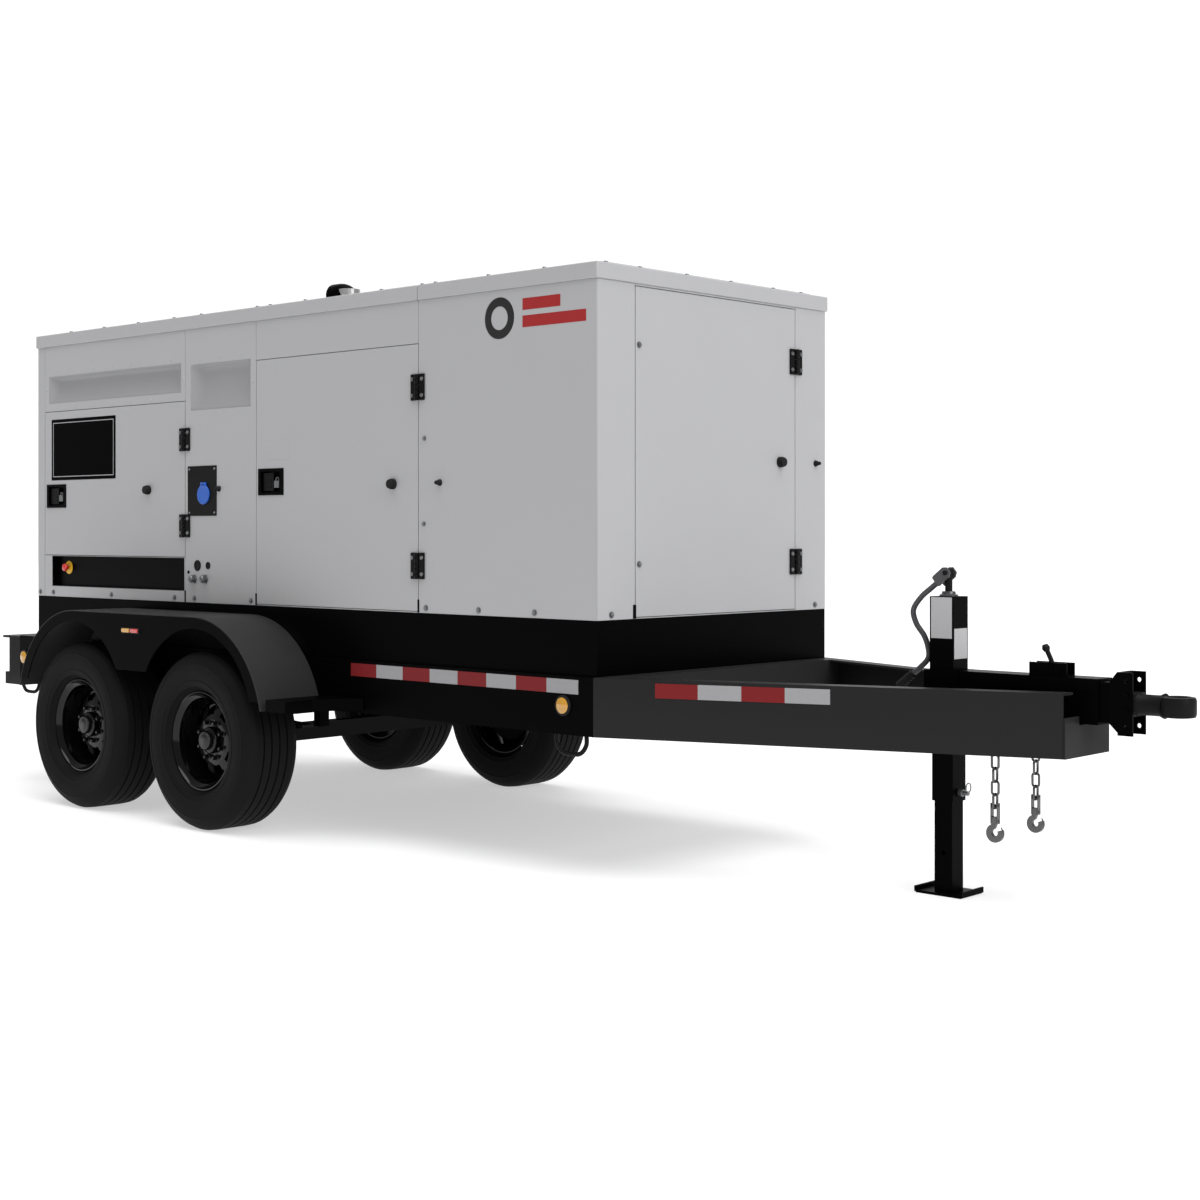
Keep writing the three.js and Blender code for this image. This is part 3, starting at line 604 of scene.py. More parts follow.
# fittings under the inlet
bm = bmesh.new()
for u, v, r in ((-2.571, 1.165, 0.026), (-2.486, 1.166, 0.017), (-2.643, 1.133, 0.008)):
    add_lathe(bm, [(0, PROUD - 0.001), (r, PROUD - 0.001), (r, PROUD + 0.003), (r * 0.8, PROUD + 0.004),
                   (r * 0.76, PROUD + 0.0012), (0, PROUD + 0.0012)], ON_RIGHT(u, v, 0), RIGHT, sides=30)
piece("port_plugs", bm, PLASTIC)
bm = bmesh.new()
for u, v in ((-2.600, 1.101), (-2.511, 1.102)):
    for sides, profile in ((6, [(0, 0), (0.024, 0), (0.024, 0.009), (0, 0.009)]),
                           (24, [(0, 0.009), (0.016, 0.009), (0.017, 0.022), (0.014, 0.026), (0, 0.026)]),
                           (12, [(0, 0.026), (0.006, 0.026), (0.006, 0.029), (0, 0.029)])):
        add_lathe(bm, profile, ON_RIGHT(u, v, PROUD), RIGHT, sides)
piece("drain_fittings", bm, ZINC)


# ---- door furniture -----------------------------------------------------------------------------------
def hinge(name, place, at, door):
    """A black cast hinge over a seam: its knuckles are shared between the wall's leaf and the door's."""
    u, v = at
    half_u, half_v, knuckles = 0.041, 0.055, 5
    step = 2 * half_v / knuckles
    for part, body, side in (("wall", ROOT, 1), ("door", door, -1)):
        bm, screws = bmesh.new(), bmesh.new()
        near, far = side * 0.0105, side * half_u
        add_block(bm, place, (u + near, u + far, v - half_v, v + half_v), PROUD, PROUD + 0.0095)
        for k in range(knuckles):
            if (k % 2 == 0) == (part == "wall"):
                a = v - half_v + k * step + 0.0006
                b = a + step - 0.0012
                add_rod(bm, place(u, a, PROUD + 0.0095), place(u, b, PROUD + 0.0095), 0.010, 18)
                add_block(bm, place, (u, u + near, a, b), PROUD + 0.0005, PROUD + 0.009)
        mid = u + (near + far) / 2 + side * 0.004
        for dv in (-0.034, 0.034):
            add_lathe(screws, [(0, 0), (0.0088, 0), (0.0078, 0.0034), (0, 0.0038)],
                      place(mid, v + dv, PROUD + 0.0090), outward(place), sides=18)
        piece(f"{name}_{part}", bm, PLASTIC, body, bevel=0.0035, segments=3)
        piece(f"{name}_{part}_screws", screws, ZINC, body)


def latch(name, place, at, door):
    """A recessed tray in a door, with a lifting paddle and a small padlock."""
    u, v = at
    bm = bmesh.new()
    outer, opening = around(at, 0.092, 0.0605), around(at, 0.0735, 0.0485)
    for rect in plate_cells(outer, [opening]):
        add_block(bm, place, rect, PROUD, PROUD + 0.004)
    bmesh.ops.remove_doubles(bm, verts=bm.verts, dist=1e-5)
    wall = 0.0012
    for strip in rim_of(inset(opening, -wall), wall):
        add_block(bm, place, strip, -0.021, PROUD + 0.0005)
    add_block(bm, place, opening, -0.0215, -0.0195)
    piece(f"{name}_tray", bm, DEEP, door, bevel=0.0008)
    bm = bmesh.new()
    add_block(bm, place, (u - 0.065, u + 0.010, v - 0.041, v + 0.041), -0.0115, -0.0045)
    add_block(bm, place, (u - 0.052, u - 0.004, v - 0.030, v + 0.012), -0.0055, -0.0035)
    for dv in (-0.022, 0.0):
        add_rod(bm, place(u - 0.05, v + dv, -0.0042), place(u - 0.006, v + dv, -0.0042), 0.0022, 10)
    piece(f"{name}_paddle", bm, PLASTIC, name, bevel=0.0018, replaces=[name])
    bm = bmesh.new()
    shackle = [place(u + 0.034 + 0.011 * c, v + 0.004 + 0.016 * s, -0.008) for c, s in round_points(11, 0, math.pi)]
    add_tube(bm, shackle, 0.0024, 10)
    add_block(bm, place, (u + 0.017, u + 0.051, v - 0.027, v + 0.005), -0.0145, -0.0015)
    piece(f"{name}_padlock", bm, ZINC, door, bevel=0.002)


def bumper_and_stop(name, place, door_at, wall_at, door):
    """A rubber bumper on a door, and the cone on the wall that it meets when the door is open."""
    turned(f"bumper_{name}", SOFT, [(0, 0), (0.0225, 0), (0.0225, 0.014), (0.0215, 0.017), (0.0195, 0.018),
                                    (0.0195, 0.024), (0.018, 0.0265), (0, 0.0265)],
           place(*door_at, PROUD), outward(place), door)
    turned(f"stop_{name}", SOFT, [(0, 0), (0.014, 0), (0.012, 0.009), (0.0075, 0.017), (0.0085, 0.022),
                                  (0.006, 0.027), (0, 0.028)], place(*wall_at, PROUD), outward(place), sides=24)


for k, v in enumerate((1.764, 1.353)):
    hinge(f"hinge_control_{k + 1}", ON_RIGHT, (-2.671, v), "control_door")
for side, s in SIDES:
    for k, v in enumerate((1.926, 1.184)):
        hinge(f"hinge_service_{side}_{k + 1}", on_side(s), (-1.008, v), f"service_door_{side}")
for k, v in enumerate((2.052, 1.198)):
    hinge(f"hinge_front_{k + 1}", on_front, (0.515, v), "front_door")
latch("latch_control", ON_RIGHT, LATCH_CONTROL, "control_door")
for side, s in SIDES:
    latch(f"latch_service_{side}", on_side(s), LATCH_SERVICE, f"service_door_{side}")
bumper_and_stop("control", ON_RIGHT, (-2.979, 1.529), (-2.399, 1.526), "control_door")
for side, s in SIDES:
    bumper_and_stop(f"service_{side}", on_side(s), (-1.166, 1.527), (-0.876, 1.528), f"service_door_{side}")
bumper_and_stop("front", on_front, (0.407, 1.621), (0.662, 1.622), "front_door")

# embossed plate on the service door, and the painted mark: a plain ring and bars
blocks("service_embossing", WHITE, ON_RIGHT, [(-2.045, -1.870, 1.651, 1.737)], PROUD - 0.0005, PROUD + 0.0012,
       "service_door_right", bevel=0.0015)
DECAL = 0.0006  # a decal's thickness
turned("mark_ring", DECAL_BLACK, [(0.047, 0), (0.083, 0), (0.083, DECAL), (0.047, DECAL)],
       ON_RIGHT(-0.526, 2.175, PROUD), RIGHT, sides=56, closed=True, smooth=False)
blocks("mark_bars", DECAL_RED, ON_RIGHT, [(-0.396, -0.190, 2.197, 2.243), (-0.396, -0.054, 2.129, 2.175)],
       PROUD, PROUD + DECAL, smooth=False)

# screws and bolts
bm = bmesh.new()
for (u0, u1, v0, v1), n in ((INTAKE_WIDE, 7), (INTAKE_TALL, 3)):
    spots = [(u0 + (u1 - u0) * (k + 0.5) / n, v) for k in range(n) for v in (v1 + 0.022, v0 - 0.022)]
    for u, v in spots + [(u0 - 0.018, (v0 + v1) / 2), (u1 + 0.018, (v0 + v1) / 2)]:
        add_dome(bm, ON_RIGHT(u, v, PROUD), RIGHT, 0.0055)
piece("intake_screws", bm, WHITE)
FOOT_V = 1.010  # height of the bolts along the foot of the walls
bm = bmesh.new()
for s in (-1, 1):
    for u in (-3.977, -3.849, -3.305, -2.760, -2.596, -2.154, -0.961, -0.646, -0.330):
        add_bolt(bm, on_side(s)(u, FOOT_V, PROUD), (0, s, 0))
    for u, v in ((-0.970, 1.712), (-0.973, 1.358)):
        add_bolt(bm, on_side(s)(u, v, PROUD), (0, s, 0), 0.0065, 0.010)
for y, z in ((-0.655, 1.009), (0.658, 1.009)):
    add_bolt(bm, on_front(y, z, PROUD), AHEAD)
for y in (-0.655, -0.25, 0.25, 0.655):
    add_bolt(bm, on_rear(y, FOOT_V, PROUD), (-1, 0, 0))
piece("wall_bolts", bm, ZINC)
bm = bmesh.new()
for y, z in ((-0.495, 2.051), (-0.495, 1.200)):
    add_bolt(bm, on_front(y, z, PROUD), AHEAD)
piece("front_door_bolts", bm, ZINC, "front_door")

# drain slots at the foot of the seams, drawn as near-black patches over the wall: painted shade for the inside of the
# slots
bm = bmesh.new()
for s, ends in ((-1, (CONTROL[1], *SERVICE[:2])), (1, SERVICE[:2])):
    for u in ends:
        add_block(bm, on_side(s), (u - 0.006, u + 0.006, BODY_LOW + 0.001, BODY_LOW + 0.055), 0.0, PROUD + 0.0005)
add_block(bm, on_front, (-0.531, -0.512, BODY_LOW + 0.001, BODY_LOW + 0.055), 0.0, PROUD + 0.0005)
piece("seam_slot_painted_shade", bm, DEEP)

# rear grille: sloping slats between four mullions
SLATS = 22
bm = bmesh.new()
for k in range(SLATS):
    v = GRILLE[2] + 0.02 + k * (GRILLE[3] - GRILLE[2] - 0.04) / (SLATS - 1)
    slat = [Vector((REAR_FACE + x, GRILLE[0] + 0.002, v + z))
            for x, z in ((0.002, -0.016), (0.004, -0.018), (0.030, 0.014), (0.028, 0.016))]
    add_prism(bm, slat, (0, GRILLE[1] - GRILLE[0] - 0.004, 0))
for u in (GRILLE[0] + 0.004, -0.19, 0.18, GRILLE[1] - 0.014):
    add_block(bm, on_rear, (u, u + 0.01, GRILLE[2], GRILLE[3]), -0.031, -0.001)
piece("rear_grille", bm, WHITE, bevel=0.0005)

# ---- roof -----------------------------------------------------------------------------------------
LIP = 0.011  # the roof's flat edge lies this far under its middle
for node in ("roof_rear", "roof_front"):
    lo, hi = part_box(node)
    boxes(f"{node}_cap", WHITE, [(lo, (hi.x, hi.y, hi.z - LIP)),
                                 ((lo.x + 0.04, lo.y + 0.07, hi.z - LIP - 0.0002), (hi.x - 0.04, hi.y - 0.07, hi.z))],
          bevel=0.005, segments=3, replaces=[node])
ROOF_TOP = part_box("roof_rear")[1].z
RIM = ROOF_TOP - LIP
bm = bmesh.new()
for t in (-3.714, -3.405, -3.100, -2.793, -2.571, -2.135, -2.038, -1.784, -1.530, -1.267, -1.007, -0.926, -0.611,
          -0.297):
    for s in (-1, 1):
        add_bolt(bm, (X(t), s * (SIDE - 0.02), RIM), UP)
for y in (-0.666, -0.470, -0.185, 0.098, 0.383, 0.582):
    for x in (FRONT - 0.015, REAR_FACE + 0.015):
        add_bolt(bm, (x, y, RIM), UP)
piece("roof_bolts", bm, ZINC)
PIPE = Vector((X(-1.860), -0.400, ROOF_TOP))
turned("exhaust_collar", DARK_STEEL, [(0.0515, 0), (0.100, 0), (0.100, 0.004), (0.066, 0.006), (0.060, 0.012),
                                      (0.0515, 0.012)], PIPE, UP, sides=40, closed=True)
ELBOW = ((0, 0, 0), (0, 0, 0.018), (-0.012, 0, 0.040), (-0.045, 0, 0.056), (-0.105, 0, 0.058))
tube("exhaust_elbow", SATIN, smooth_path([PIPE + Vector(p) for p in ELBOW], 7), 0.053, sides=32)

# ---- frame ----------------------------------------------------------------------------------------
TAPE_Z = (0.707, 0.762)
TAPE_START, TAPE_END, TAPE_PARTS = -1.419, -0.077, 8
TAPE_THICK = 0.0012
COLOURS = ((TAPE_RED, 0), (TAPE_WHITE, 1))
length = (TAPE_END - TAPE_START) / TAPE_PARTS
for colour, phase in COLOURS:
    starts = [X(TAPE_START + k * length) for k in range(phase, TAPE_PARTS, 2)]
    corners = [((a, s * RAIL_Y, TAPE_Z[0]), (a + length, s * (RAIL_Y + TAPE_THICK), TAPE_Z[1]))
               for a in starts for s in (-1, 1)]
    boxes(f"rail_{colour.name}", colour, corners, smooth=False)
NOSE_T, NOSE_Y = 1.630, 0.159
SLOPE = (RAIL_Y - NOSE_Y) / NOSE_T


def on_beam(s):
    """Points on a tongue beam's outer face: t along the trailer, z up, out off the face."""
    n = Vector((SLOPE, s, 0)).normalized()
    return lambda t, z, out: Vector((X(t), s * (RAIL_Y - SLOPE * t), z)) + n * out


BEAM_TAPE = (0.235, 0.393, 0.551, 0.706, 0.864)
for colour, phase in COLOURS:
    bm = bmesh.new()
    for a, b in list(zip(BEAM_TAPE, BEAM_TAPE[1:]))[phase::2]:
        for s in (-1, 1):
            place = on_beam(s)
            corners = ((a, TAPE_Z[0]), (b, TAPE_Z[0]), (b, TAPE_Z[1]), (a, TAPE_Z[1]))
            add_prism(bm, [place(t, z, 0.0) for t, z in corners], outward(place) * TAPE_THICK)
    piece(f"beam_{colour.name}", bm, colour, smooth=False)


def lamp(name, at, axis, lens, r=0.040):
    turned(f"{name}_bezel", SOFT, [(0, 0), (r, 0), (r, 0.007), (r - 0.004, 0.010), (r - 0.008, 0.010),
                                   (r - 0.008, 0.006), (0, 0.006)], at, axis, sides=36)
    turned(f"{name}_lens", lens, [(0, 0.005), (r - 0.0085, 0.005), (r - 0.009, 0.010), (r * 0.55, 0.0145),
                                  (0, 0.016)], at, axis, sides=36)


for side, s in SIDES:
    lamp(f"side_lamp_{side}", (X(-0.155), s * RAIL_Y, 0.661), (0, s, 0), AMBER)
    lamp(f"rear_side_lamp_{side}", (X(-4.100), s * RAIL_Y, 0.662), (0, s, 0), AMBER)
for y in (0.62, 0.48):
    for side, s in SIDES:
        lamp(f"tail_lamp_{side}_{int(y * 100)}", (X(-4.260), s * y, 0.668), (-1, 0, 0), LAMP_RED, 0.05)

# mudguards
TYRES = {axle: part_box(f"tyre_{axle}_right") for axle in ("front", "rear")}
AXLE_X = {axle: (b[0].x + b[1].x) / 2 for axle, b in TYRES.items()}
TYRE_LOW, TYRE_HIGH = TYRES["front"]
TYRE_R = (TYRE_HIGH.z - TYRE_LOW.z) / 2
AXLE_Z = (TYRE_HIGH.z + TYRE_LOW.z) / 2
WHEEL_Y = (TYRE_LOW.y + TYRE_HIGH.y) / -2
HALF = (TYRE_HIGH.y - TYRE_LOW.y) / 2  # half a tyre's width
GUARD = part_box("fender_left")
GUARD_R, GUARD_Z, GUARD_FOOT = 0.500, 0.450, 0.563
ARCH_R, ARCH_Z, SKIRT, SKIRT_FOOT = 0.430, 0.468, 0.686, 0.600
HOOP_Y, HOOP_TOP = 0.742, 0.56


def arc(axle, r, z0, start, stop, count):
    """Points (x, z) on an arc about a line over an axle."""
    return [(AXLE_X[axle] + r * c, z0 + r * s) for c, s in round_points(count, start, stop)]


def guard_outline(r, foot):
    """The mudguard's line from its rear foot over both wheels to its front foot, as (x, z)."""
    up, end = math.pi / 2, math.acos((foot - GUARD_Z) / r)
    return arc("rear", r, GUARD_Z, up + end, up, 23) + arc("front", r, GUARD_Z, up, up - end, 23)


for side, s in SIDES:
    y0, y1 = GUARD[0].y, GUARD[1].y
    bm = bmesh.new()
    line = guard_outline(GUARD_R, GUARD_FOOT) + guard_outline(GUARD_R - 0.006, GUARD_FOOT)[::-1]
    add_prism(bm, [Vector((x, s * y0, z)) for x, z in line], (0, s * (y1 - y0), 0))
    # the top band in the lighter black: painted light on the mudguard's top
    piece(f"mudguard_{side}", bm, GUARD_LIT_TOP, bevel=0.0018, replaces=[f"fender_{side}"])
    # skirt: from the top line down to the arches and the straight between them
    bm = bmesh.new()
    a0, a1 = math.asin((SKIRT_FOOT - ARCH_Z) / ARCH_R), math.asin((SKIRT - ARCH_Z) / ARCH_R)
    low = arc("rear", ARCH_R, ARCH_Z, math.pi - a0, a1, 27) + arc("front", ARCH_R, ARCH_Z, math.pi - a1, a0, 27)
    line = guard_outline(GUARD_R - 0.003, SKIRT_FOOT) + low[::-1]
    add_prism(bm, [Vector((x, s * (y1 - 0.006), z)) for x, z in line], (0, s * 0.006, 0))
    # the skirt is darker than the top band, so top and side read as painted light and shade on one black paint
    piece(f"mudguard_skirt_{side}", bm, SATIN, bevel=0.0018)
    for name, mat, ends, heights, low, high, bevel in (
            ("base", SOFT, (-2.669, -2.522), (0.857, 0.884), 0, 0.004, 0.001),
            ("amber", AMBER, (-2.660, -2.600), (0.861, 0.880), 0.003, 0.010, 0.003),
            ("red", LAMP_RED, (-2.591, -2.531), (0.861, 0.880), 0.003, 0.010, 0.003)):
        boxes(f"marker_{name}_{side}", mat, [((X(ends[0]), s * (y1 + low), heights[0]),
                                              (X(ends[1]), s * (y1 + high), heights[1]))], bevel=bevel)
    # tie-down hoops under the rail
    for k, (a, b, foot) in enumerate(((-0.202, -0.047, 0.476), (-4.141, -3.980, 0.480))):
        path = ((a, HOOP_TOP), (a, foot + 0.04), (a + 0.03, foot + 0.006), ((a + b) / 2, foot),
                (b - 0.03, foot + 0.006), (b, foot + 0.04), (b, HOOP_TOP))
        tube(f"tie_hoop_{side}_{k + 1}", BLACK, smooth_path([(X(t), s * HOOP_Y, z) for t, z in path]), 0.009)


# ---- wheels ---------------------------------------------------------------------------------------
def tyre_profile():
    """(radius, offset) round the carcass: sidewall rings, shoulders and four tread grooves, then its inside."""
    r, h = TYRE_R, HALF
    wall = [(0.2195, -0.100), (0.232, -0.118), (0.240, -0.128), (0.2415, -0.133), (0.246, -0.1335),
            (0.262, -h + 0.004), (0.268, -h + 0.0025), (0.272, -h + 0.004), (0.300, -h + 0.0005), (0.320, -h),
            (0.338, -h + 0.002), (0.341, -h + 0.0005), (0.345, -h + 0.003), (0.362, -h + 0.009),
            (0.376, -h + 0.018), (0.386, -h + 0.030), (0.3905, -h + 0.040), (r - 0.0025, -0.098)]
    tread = [(r - depth, g + w) for g in (-0.062, -0.021, 0.021, 0.062)
             for depth, w in ((0.0004, -0.0046), (0.0085, -0.0032), (0.0085, 0.0032), (0.0004, 0.0046))]
    inside = [(0.2195, 0.085), (0.300, 0.118), (0.368, 0.098), (0.368, -0.098), (0.300, -0.118), (0.2195, -0.085)]
    return wall + tread + [(a, -b) for a, b in reversed(wall)] + inside


BARREL = ((0.2192, -0.108), (0.2192, -0.112), (0.214, -0.1125), (0.208, -0.104), (0.190, -0.098), (0.182, -0.02),
          (0.186, 0.06), (0.192, 0.092), (0.206, 0.102), (0.213, 0.1125), (0.2192, 0.112), (0.2192, 0.106),
          (0.212, 0.100), (0.198, 0.086), (0.192, 0.055), (0.188, -0.02), (0.196, -0.088), (0.209, -0.098))
DISC = ((0.060, 0.046), (0.098, 0.048), (0.114, 0.043), (0.158, 0.026), (0.186, 0.010))
HUB = ((0.027, -0.068), (0.069, -0.068), (0.069, 0.042), (0.0605, 0.044), (0.0605, 0.062), (0.056, 0.070),
       (0.040, 0.0775), (0.027, 0.0775))


def add_disc(bm, at, axis):
    """A dished disc with eight windows between its third and fourth rings."""
    steps, pitch, open_steps, thick = 64, 8, 4, 0.006
    m = Matrix.Translation(at) @ aim(axis)
    top, low = ([[bm.verts.new(m @ Vector((r * c, r * s, h - drop))) for c, s in round_points(steps)]
                 for r, h in DISC] for drop in (0.0, thick))
    for rows in (top, low):
        for i, (a, b) in enumerate(zip(rows, rows[1:])):
            for k in range(steps):
                if i != 2 or k % pitch >= open_steps:
                    j = (k + 1) % steps
                    bm.faces.new((a[k], a[j], b[j], b[k]))
    for k in range(steps):
        j = (k + 1) % steps
        if k % pitch < open_steps:
            bm.faces.new((top[2][k], top[2][j], low[2][j], low[2][k]))
            bm.faces.new((top[3][j], top[3][k], low[3][k], low[3][j]))
        if k % pitch in (0, open_steps):
            bm.faces.new((top[2][k], low[2][k], low[3][k], top[3][k]))
        bm.faces.new((top[0][j], top[0][k], low[0][k], low[0][j]))
        bm.faces.new((top[4][k], top[4][j], low[4][j], low[4][k]))


def wheel(axle, side, s):
    """A tyre, its rim, nuts, cap, drum and valve, and the spring clips over its axle."""
    hub = Vector((AXLE_X[axle], s * WHEEL_Y, AXLE_Z))
    axis = Vector((0, s, 0))
    tag, body = f"{axle}_{side}", f"wheel_{axle}_{side}"
    turned(f"tyre_{tag}_tread", RUBBER, tyre_profile(), hub, axis, body, sides=112, closed=True,
           replaces=[f"tyre_{tag}"], angle=24)
    bm = bmesh.new()
    add_lathe(bm, BARREL, hub, axis, sides=96, closed=True)
    add_disc(bm, hub, axis)
    add_lathe(bm, HUB, hub, axis, sides=48, closed=True)
    piece(f"rim_{tag}_dish", bm, GLOSS, body, replaces=[f"rim_{tag}"], angle=30)
    bm = bmesh.new()
    for c, sn in round_points(8, math.pi / 8, math.pi / 8 + 2 * math.pi):
        foot = hub + Vector((0.0825 * c, 0, 0.0825 * sn)) + axis * 0.0475
        add_lathe(bm, [(0, 0), (0.0145, 0), (0.0145, 0.002), (0.0115, 0.004), (0, 0.004)], foot, axis, sides=20)
        add_lathe(bm, [(0, 0.003), (0.0105, 0.003), (0.0105, 0.020), (0.008, 0.024), (0, 0.026)], foot, axis, sides=6)
    piece(f"wheel_nuts_{tag}", bm, HUB_BLACK, body)
    bm = bmesh.new()
    add_lathe(bm, [(0.028, 0.0770), (0.043, 0.0770), (0.043, 0.088), (0.039, 0.094), (0.028, 0.095)], hub, axis,
              sides=40, closed=True)
    add_lathe(bm, [(0, 0.088), (0.0285, 0.088), (0.0285, 0.0945), (0.020, 0.0965), (0, 0.097)], hub, axis, sides=32)
    piece(f"hub_cap_{tag}", bm, HUB_BLACK, body)
    turned(f"brake_drum_{tag}", SATIN, [(0.0695, -0.066), (0.150, -0.066), (0.160, -0.058), (0.160, -0.004),
                                        (0.152, 0.006), (0.0695, 0.008)],
           hub, axis, body, sides=56, closed=True, bevel=0.002)
    bm = bmesh.new()
    valve = hub + Vector((0.168, 0, 0.03)) + axis * 0.030
    add_rod(bm, valve, valve + Vector((0.012, s * 0.036, 0.004)), 0.0042, 12)
    piece(f"valve_{tag}", bm, SOFT, body)
    bm = bmesh.new()
    for x in (hub.x - 0.075, hub.x + 0.075):
        for y in (0.676, 0.754):
            add_rod(bm, (x, s * y, AXLE_Z - 0.07), (x, s * y, AXLE_Z + 0.105), 0.007, 10)
        add_rod(bm, (x, s * 0.670, AXLE_Z + 0.102), (x, s * 0.760, AXLE_Z + 0.102), 0.007, 10)
    add_box(bm, (hub.x - 0.1, s * 0.66, AXLE_Z - 0.056), (hub.x + 0.1, s * 0.768, AXLE_Z - 0.042))
    piece(f"spring_clips_{tag}", bm, BLACK, bevel=0.001)


for axle in ("front", "rear"):
    for side, s in SIDES:
        wheel(axle, side, s)

# ---- jack -----------------------------------------------------------------------------------------
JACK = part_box("jack_outer_tube")
JACK_X = (JACK[0].x + JACK[1].x) / 2
JACK_HALF = (JACK[1].x - JACK[0].x) / 2


def on_jack_side(u, v, out):
    return (JACK_X + u, -(JACK_HALF + out), v)


def on_jack_front(u, v, out):
    return (JACK_X + JACK_HALF + out, u, v)


bm = bmesh.new()
add_block(bm, on_jack_side, (-0.044, 0.044, 0.937, 1.087), 0.0, 0.0010)
add_block(bm, on_jack_front, (-0.044, 0.044, 0.862, 0.973), 0.0, 0.0010)
piece("jack_labels", bm, LABEL, bevel=0.0003)
turned("jack_top_bearing", DARK_STEEL, [(0.0148, 0), (0.034, 0), (0.034, 0.006), (0.026, 0.009), (0.024, 0.018),
                                        (0.0148, 0.018)], (JACK_X, 0, JACK[1].z), UP, sides=36, closed=True)
PIN = Vector((JACK_X, 0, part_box("jack_crank_head")[1].z - 0.014))  # the crank folds about this pin
bm = bmesh.new()
add_rod(bm, (JACK_X, 0, 0.811), (JACK_X, 0, PIN.z - 0.008), 0.0135, 24)
add_box(bm, (JACK_X - 0.009, -0.0135, PIN.z - 0.014), (JACK_X + 0.009, 0.0135, PIN.z + 0.014))
add_rod(bm, (JACK_X, -0.030, PIN.z), (JACK_X, 0.030, PIN.z), 0.0055, 20)
for s in (-1, 1):
    add_lathe(bm, [(0, 0), (0.0098, 0), (0.0098, 0.0035), (0.007, 0.005), (0, 0.005)],
              (JACK_X, s * 0.0268, PIN.z), (0, s, 0), sides=6)
piece("jack_crank_spindle", bm, BLACK, "crank_head", bevel=0.0008, replaces=["jack_crank_head"])
CRANK = ((-38, -30), (-75, -58), (-118, -92), (-152, -140), (-140, -190), (-105, -236), (-88, -280), (-88, -318),
         (-120, -352), (-160, -384))  # the tube's bends from the pin, in mm
tube("jack_crank_tube", HANDLE, smooth_path([PIN + Vector((t / 1000, 0, z / 1000)) for t, z in CRANK], 9), 0.0105,
     "crank_handle", 20, replaces=["jack_crank_handle"])
CHEEK = ((-0.037, -0.019), (-0.030, -0.023), (0.022, -0.023), (0.037, -0.012), (0.037, 0.012), (0.022, 0.023),
         (-0.030, 0.023), (-0.037, 0.019))
turn = Matrix.Rotation(-math.pi / 4.6, 4, "Y")
bm = bmesh.new()
for s in (-1, 1):
    cheek = [PIN + Vector((-0.016, s * 0.0190, -0.012)) + turn @ Vector((a, 0, b)) for a, b in CHEEK]
    add_prism(bm, cheek, (0, s * 0.0062, 0))
add_rod(bm, PIN + Vector((-0.038, -0.0188, -0.030)), PIN + Vector((-0.038, 0.0188, -0.030)), 0.0125, 20)
piece("jack_crank_clevis", bm, HANDLE, "crank_handle", bevel=0.0012)
GRIP = PIN + Vector((-0.150, 0, -0.376))
grip_axis = Vector((-0.068, 0, -0.054))
length = grip_axis.length
profile = [(0, 0), (0.0125, 0), (0.0160, 0.004)]
for a in (0.008 + k * 0.014 for k in range(5)):
    profile += [(0.0165, a), (0.0165, a + 0.008), (0.0148, a + 0.009), (0.0148, a + 0.013)]
profile += [(0.0168, length - 0.006), (0.0145, length - 0.001), (0, length)]
turned("jack_crank_grip", SOFT, profile, GRIP, grip_axis, "crank_handle", sides=28)
PLUNGER = Vector((JACK_X, 0, 0.372))
bm = bmesh.new()
add_rod(bm, PLUNGER + Vector((0.0380, 0, 0)), PLUNGER + Vector((0.084, 0, 0)), 0.0083, 20)
add_lathe(bm, [(0.0083, 0.0445), (0.0135, 0.0445), (0.0138, 0.047), (0.0138, 0.060), (0.0120, 0.0618),
               (0.0083, 0.0618)], PLUNGER, AHEAD, sides=28, closed=True)
add_tube(bm, [PLUNGER + Vector((0.083, 0.0165 * c, 0.0215 + 0.0165 * s)) for c, s in round_points(28)], 0.0024, 10,
         closed=True)
piece("jack_plunger_ring", bm, ZINC, "jack_pin", replaces=["jack_plunger_pin"])

# ---- coupler --------------------------------------------------------------------------------------
bm = bmesh.new()
for z in (0.770, 0.720):
    for s in (-1, 1):
        at = (X(1.809), s * 0.051, z)
        add_lathe(bm, [(0, 0), (0.0125, 0), (0.0125, 0.0022), (0.010, 0.003), (0, 0.003)], at, (0, s, 0), sides=28)
        add_lathe(bm, [(0, 0.0028), (0.0105, 0.0028), (0.0105, 0.009), (0.0085, 0.0105), (0, 0.0105)], at, (0, s, 0),
                  sides=6)
piece("coupler_bolts", bm, SATIN, "coupler")
EYE_Z = 0.740
bm = bmesh.new()
add_box(bm, (X(1.787), -0.0423, 0.700), (X(1.832), 0.0423, 0.780))
add_lathe(bm, [(0, 0), (0.040, 0), (0.040, 0.010), (0.036, 0.016), (0.036, 0.082), (0.044, 0.100), (0, 0.100)],
          (X(1.826), 0, EYE_Z), AHEAD, sides=40)
add_lathe(bm, [(0.0382, -0.030), (0.044, -0.035), (0.056, -0.033), (0.0595, -0.022), (0.0595, 0.022),
               (0.056, 0.033), (0.044, 0.035), (0.0382, 0.030)], (X(1.972), 0, EYE_Z), UP, sides=56, closed=True)
piece("lunette_eye", bm, BLACK, "coupler", bevel=0.0015, replaces=["eye_coupler"])
LEVER_T = 1.511
bm = bmesh.new()
add_tube(bm, smooth_path([(X(t), 0, z) for t, z in ((LEVER_T, 0.846), (1.503, 0.868), (1.488, 0.900),
                                                    (1.479, 0.918))], 6), 0.0085, 18)
add_rod(bm, (X(LEVER_T), -0.0215, 0.850), (X(LEVER_T), 0.0215, 0.850), 0.0080, 18)
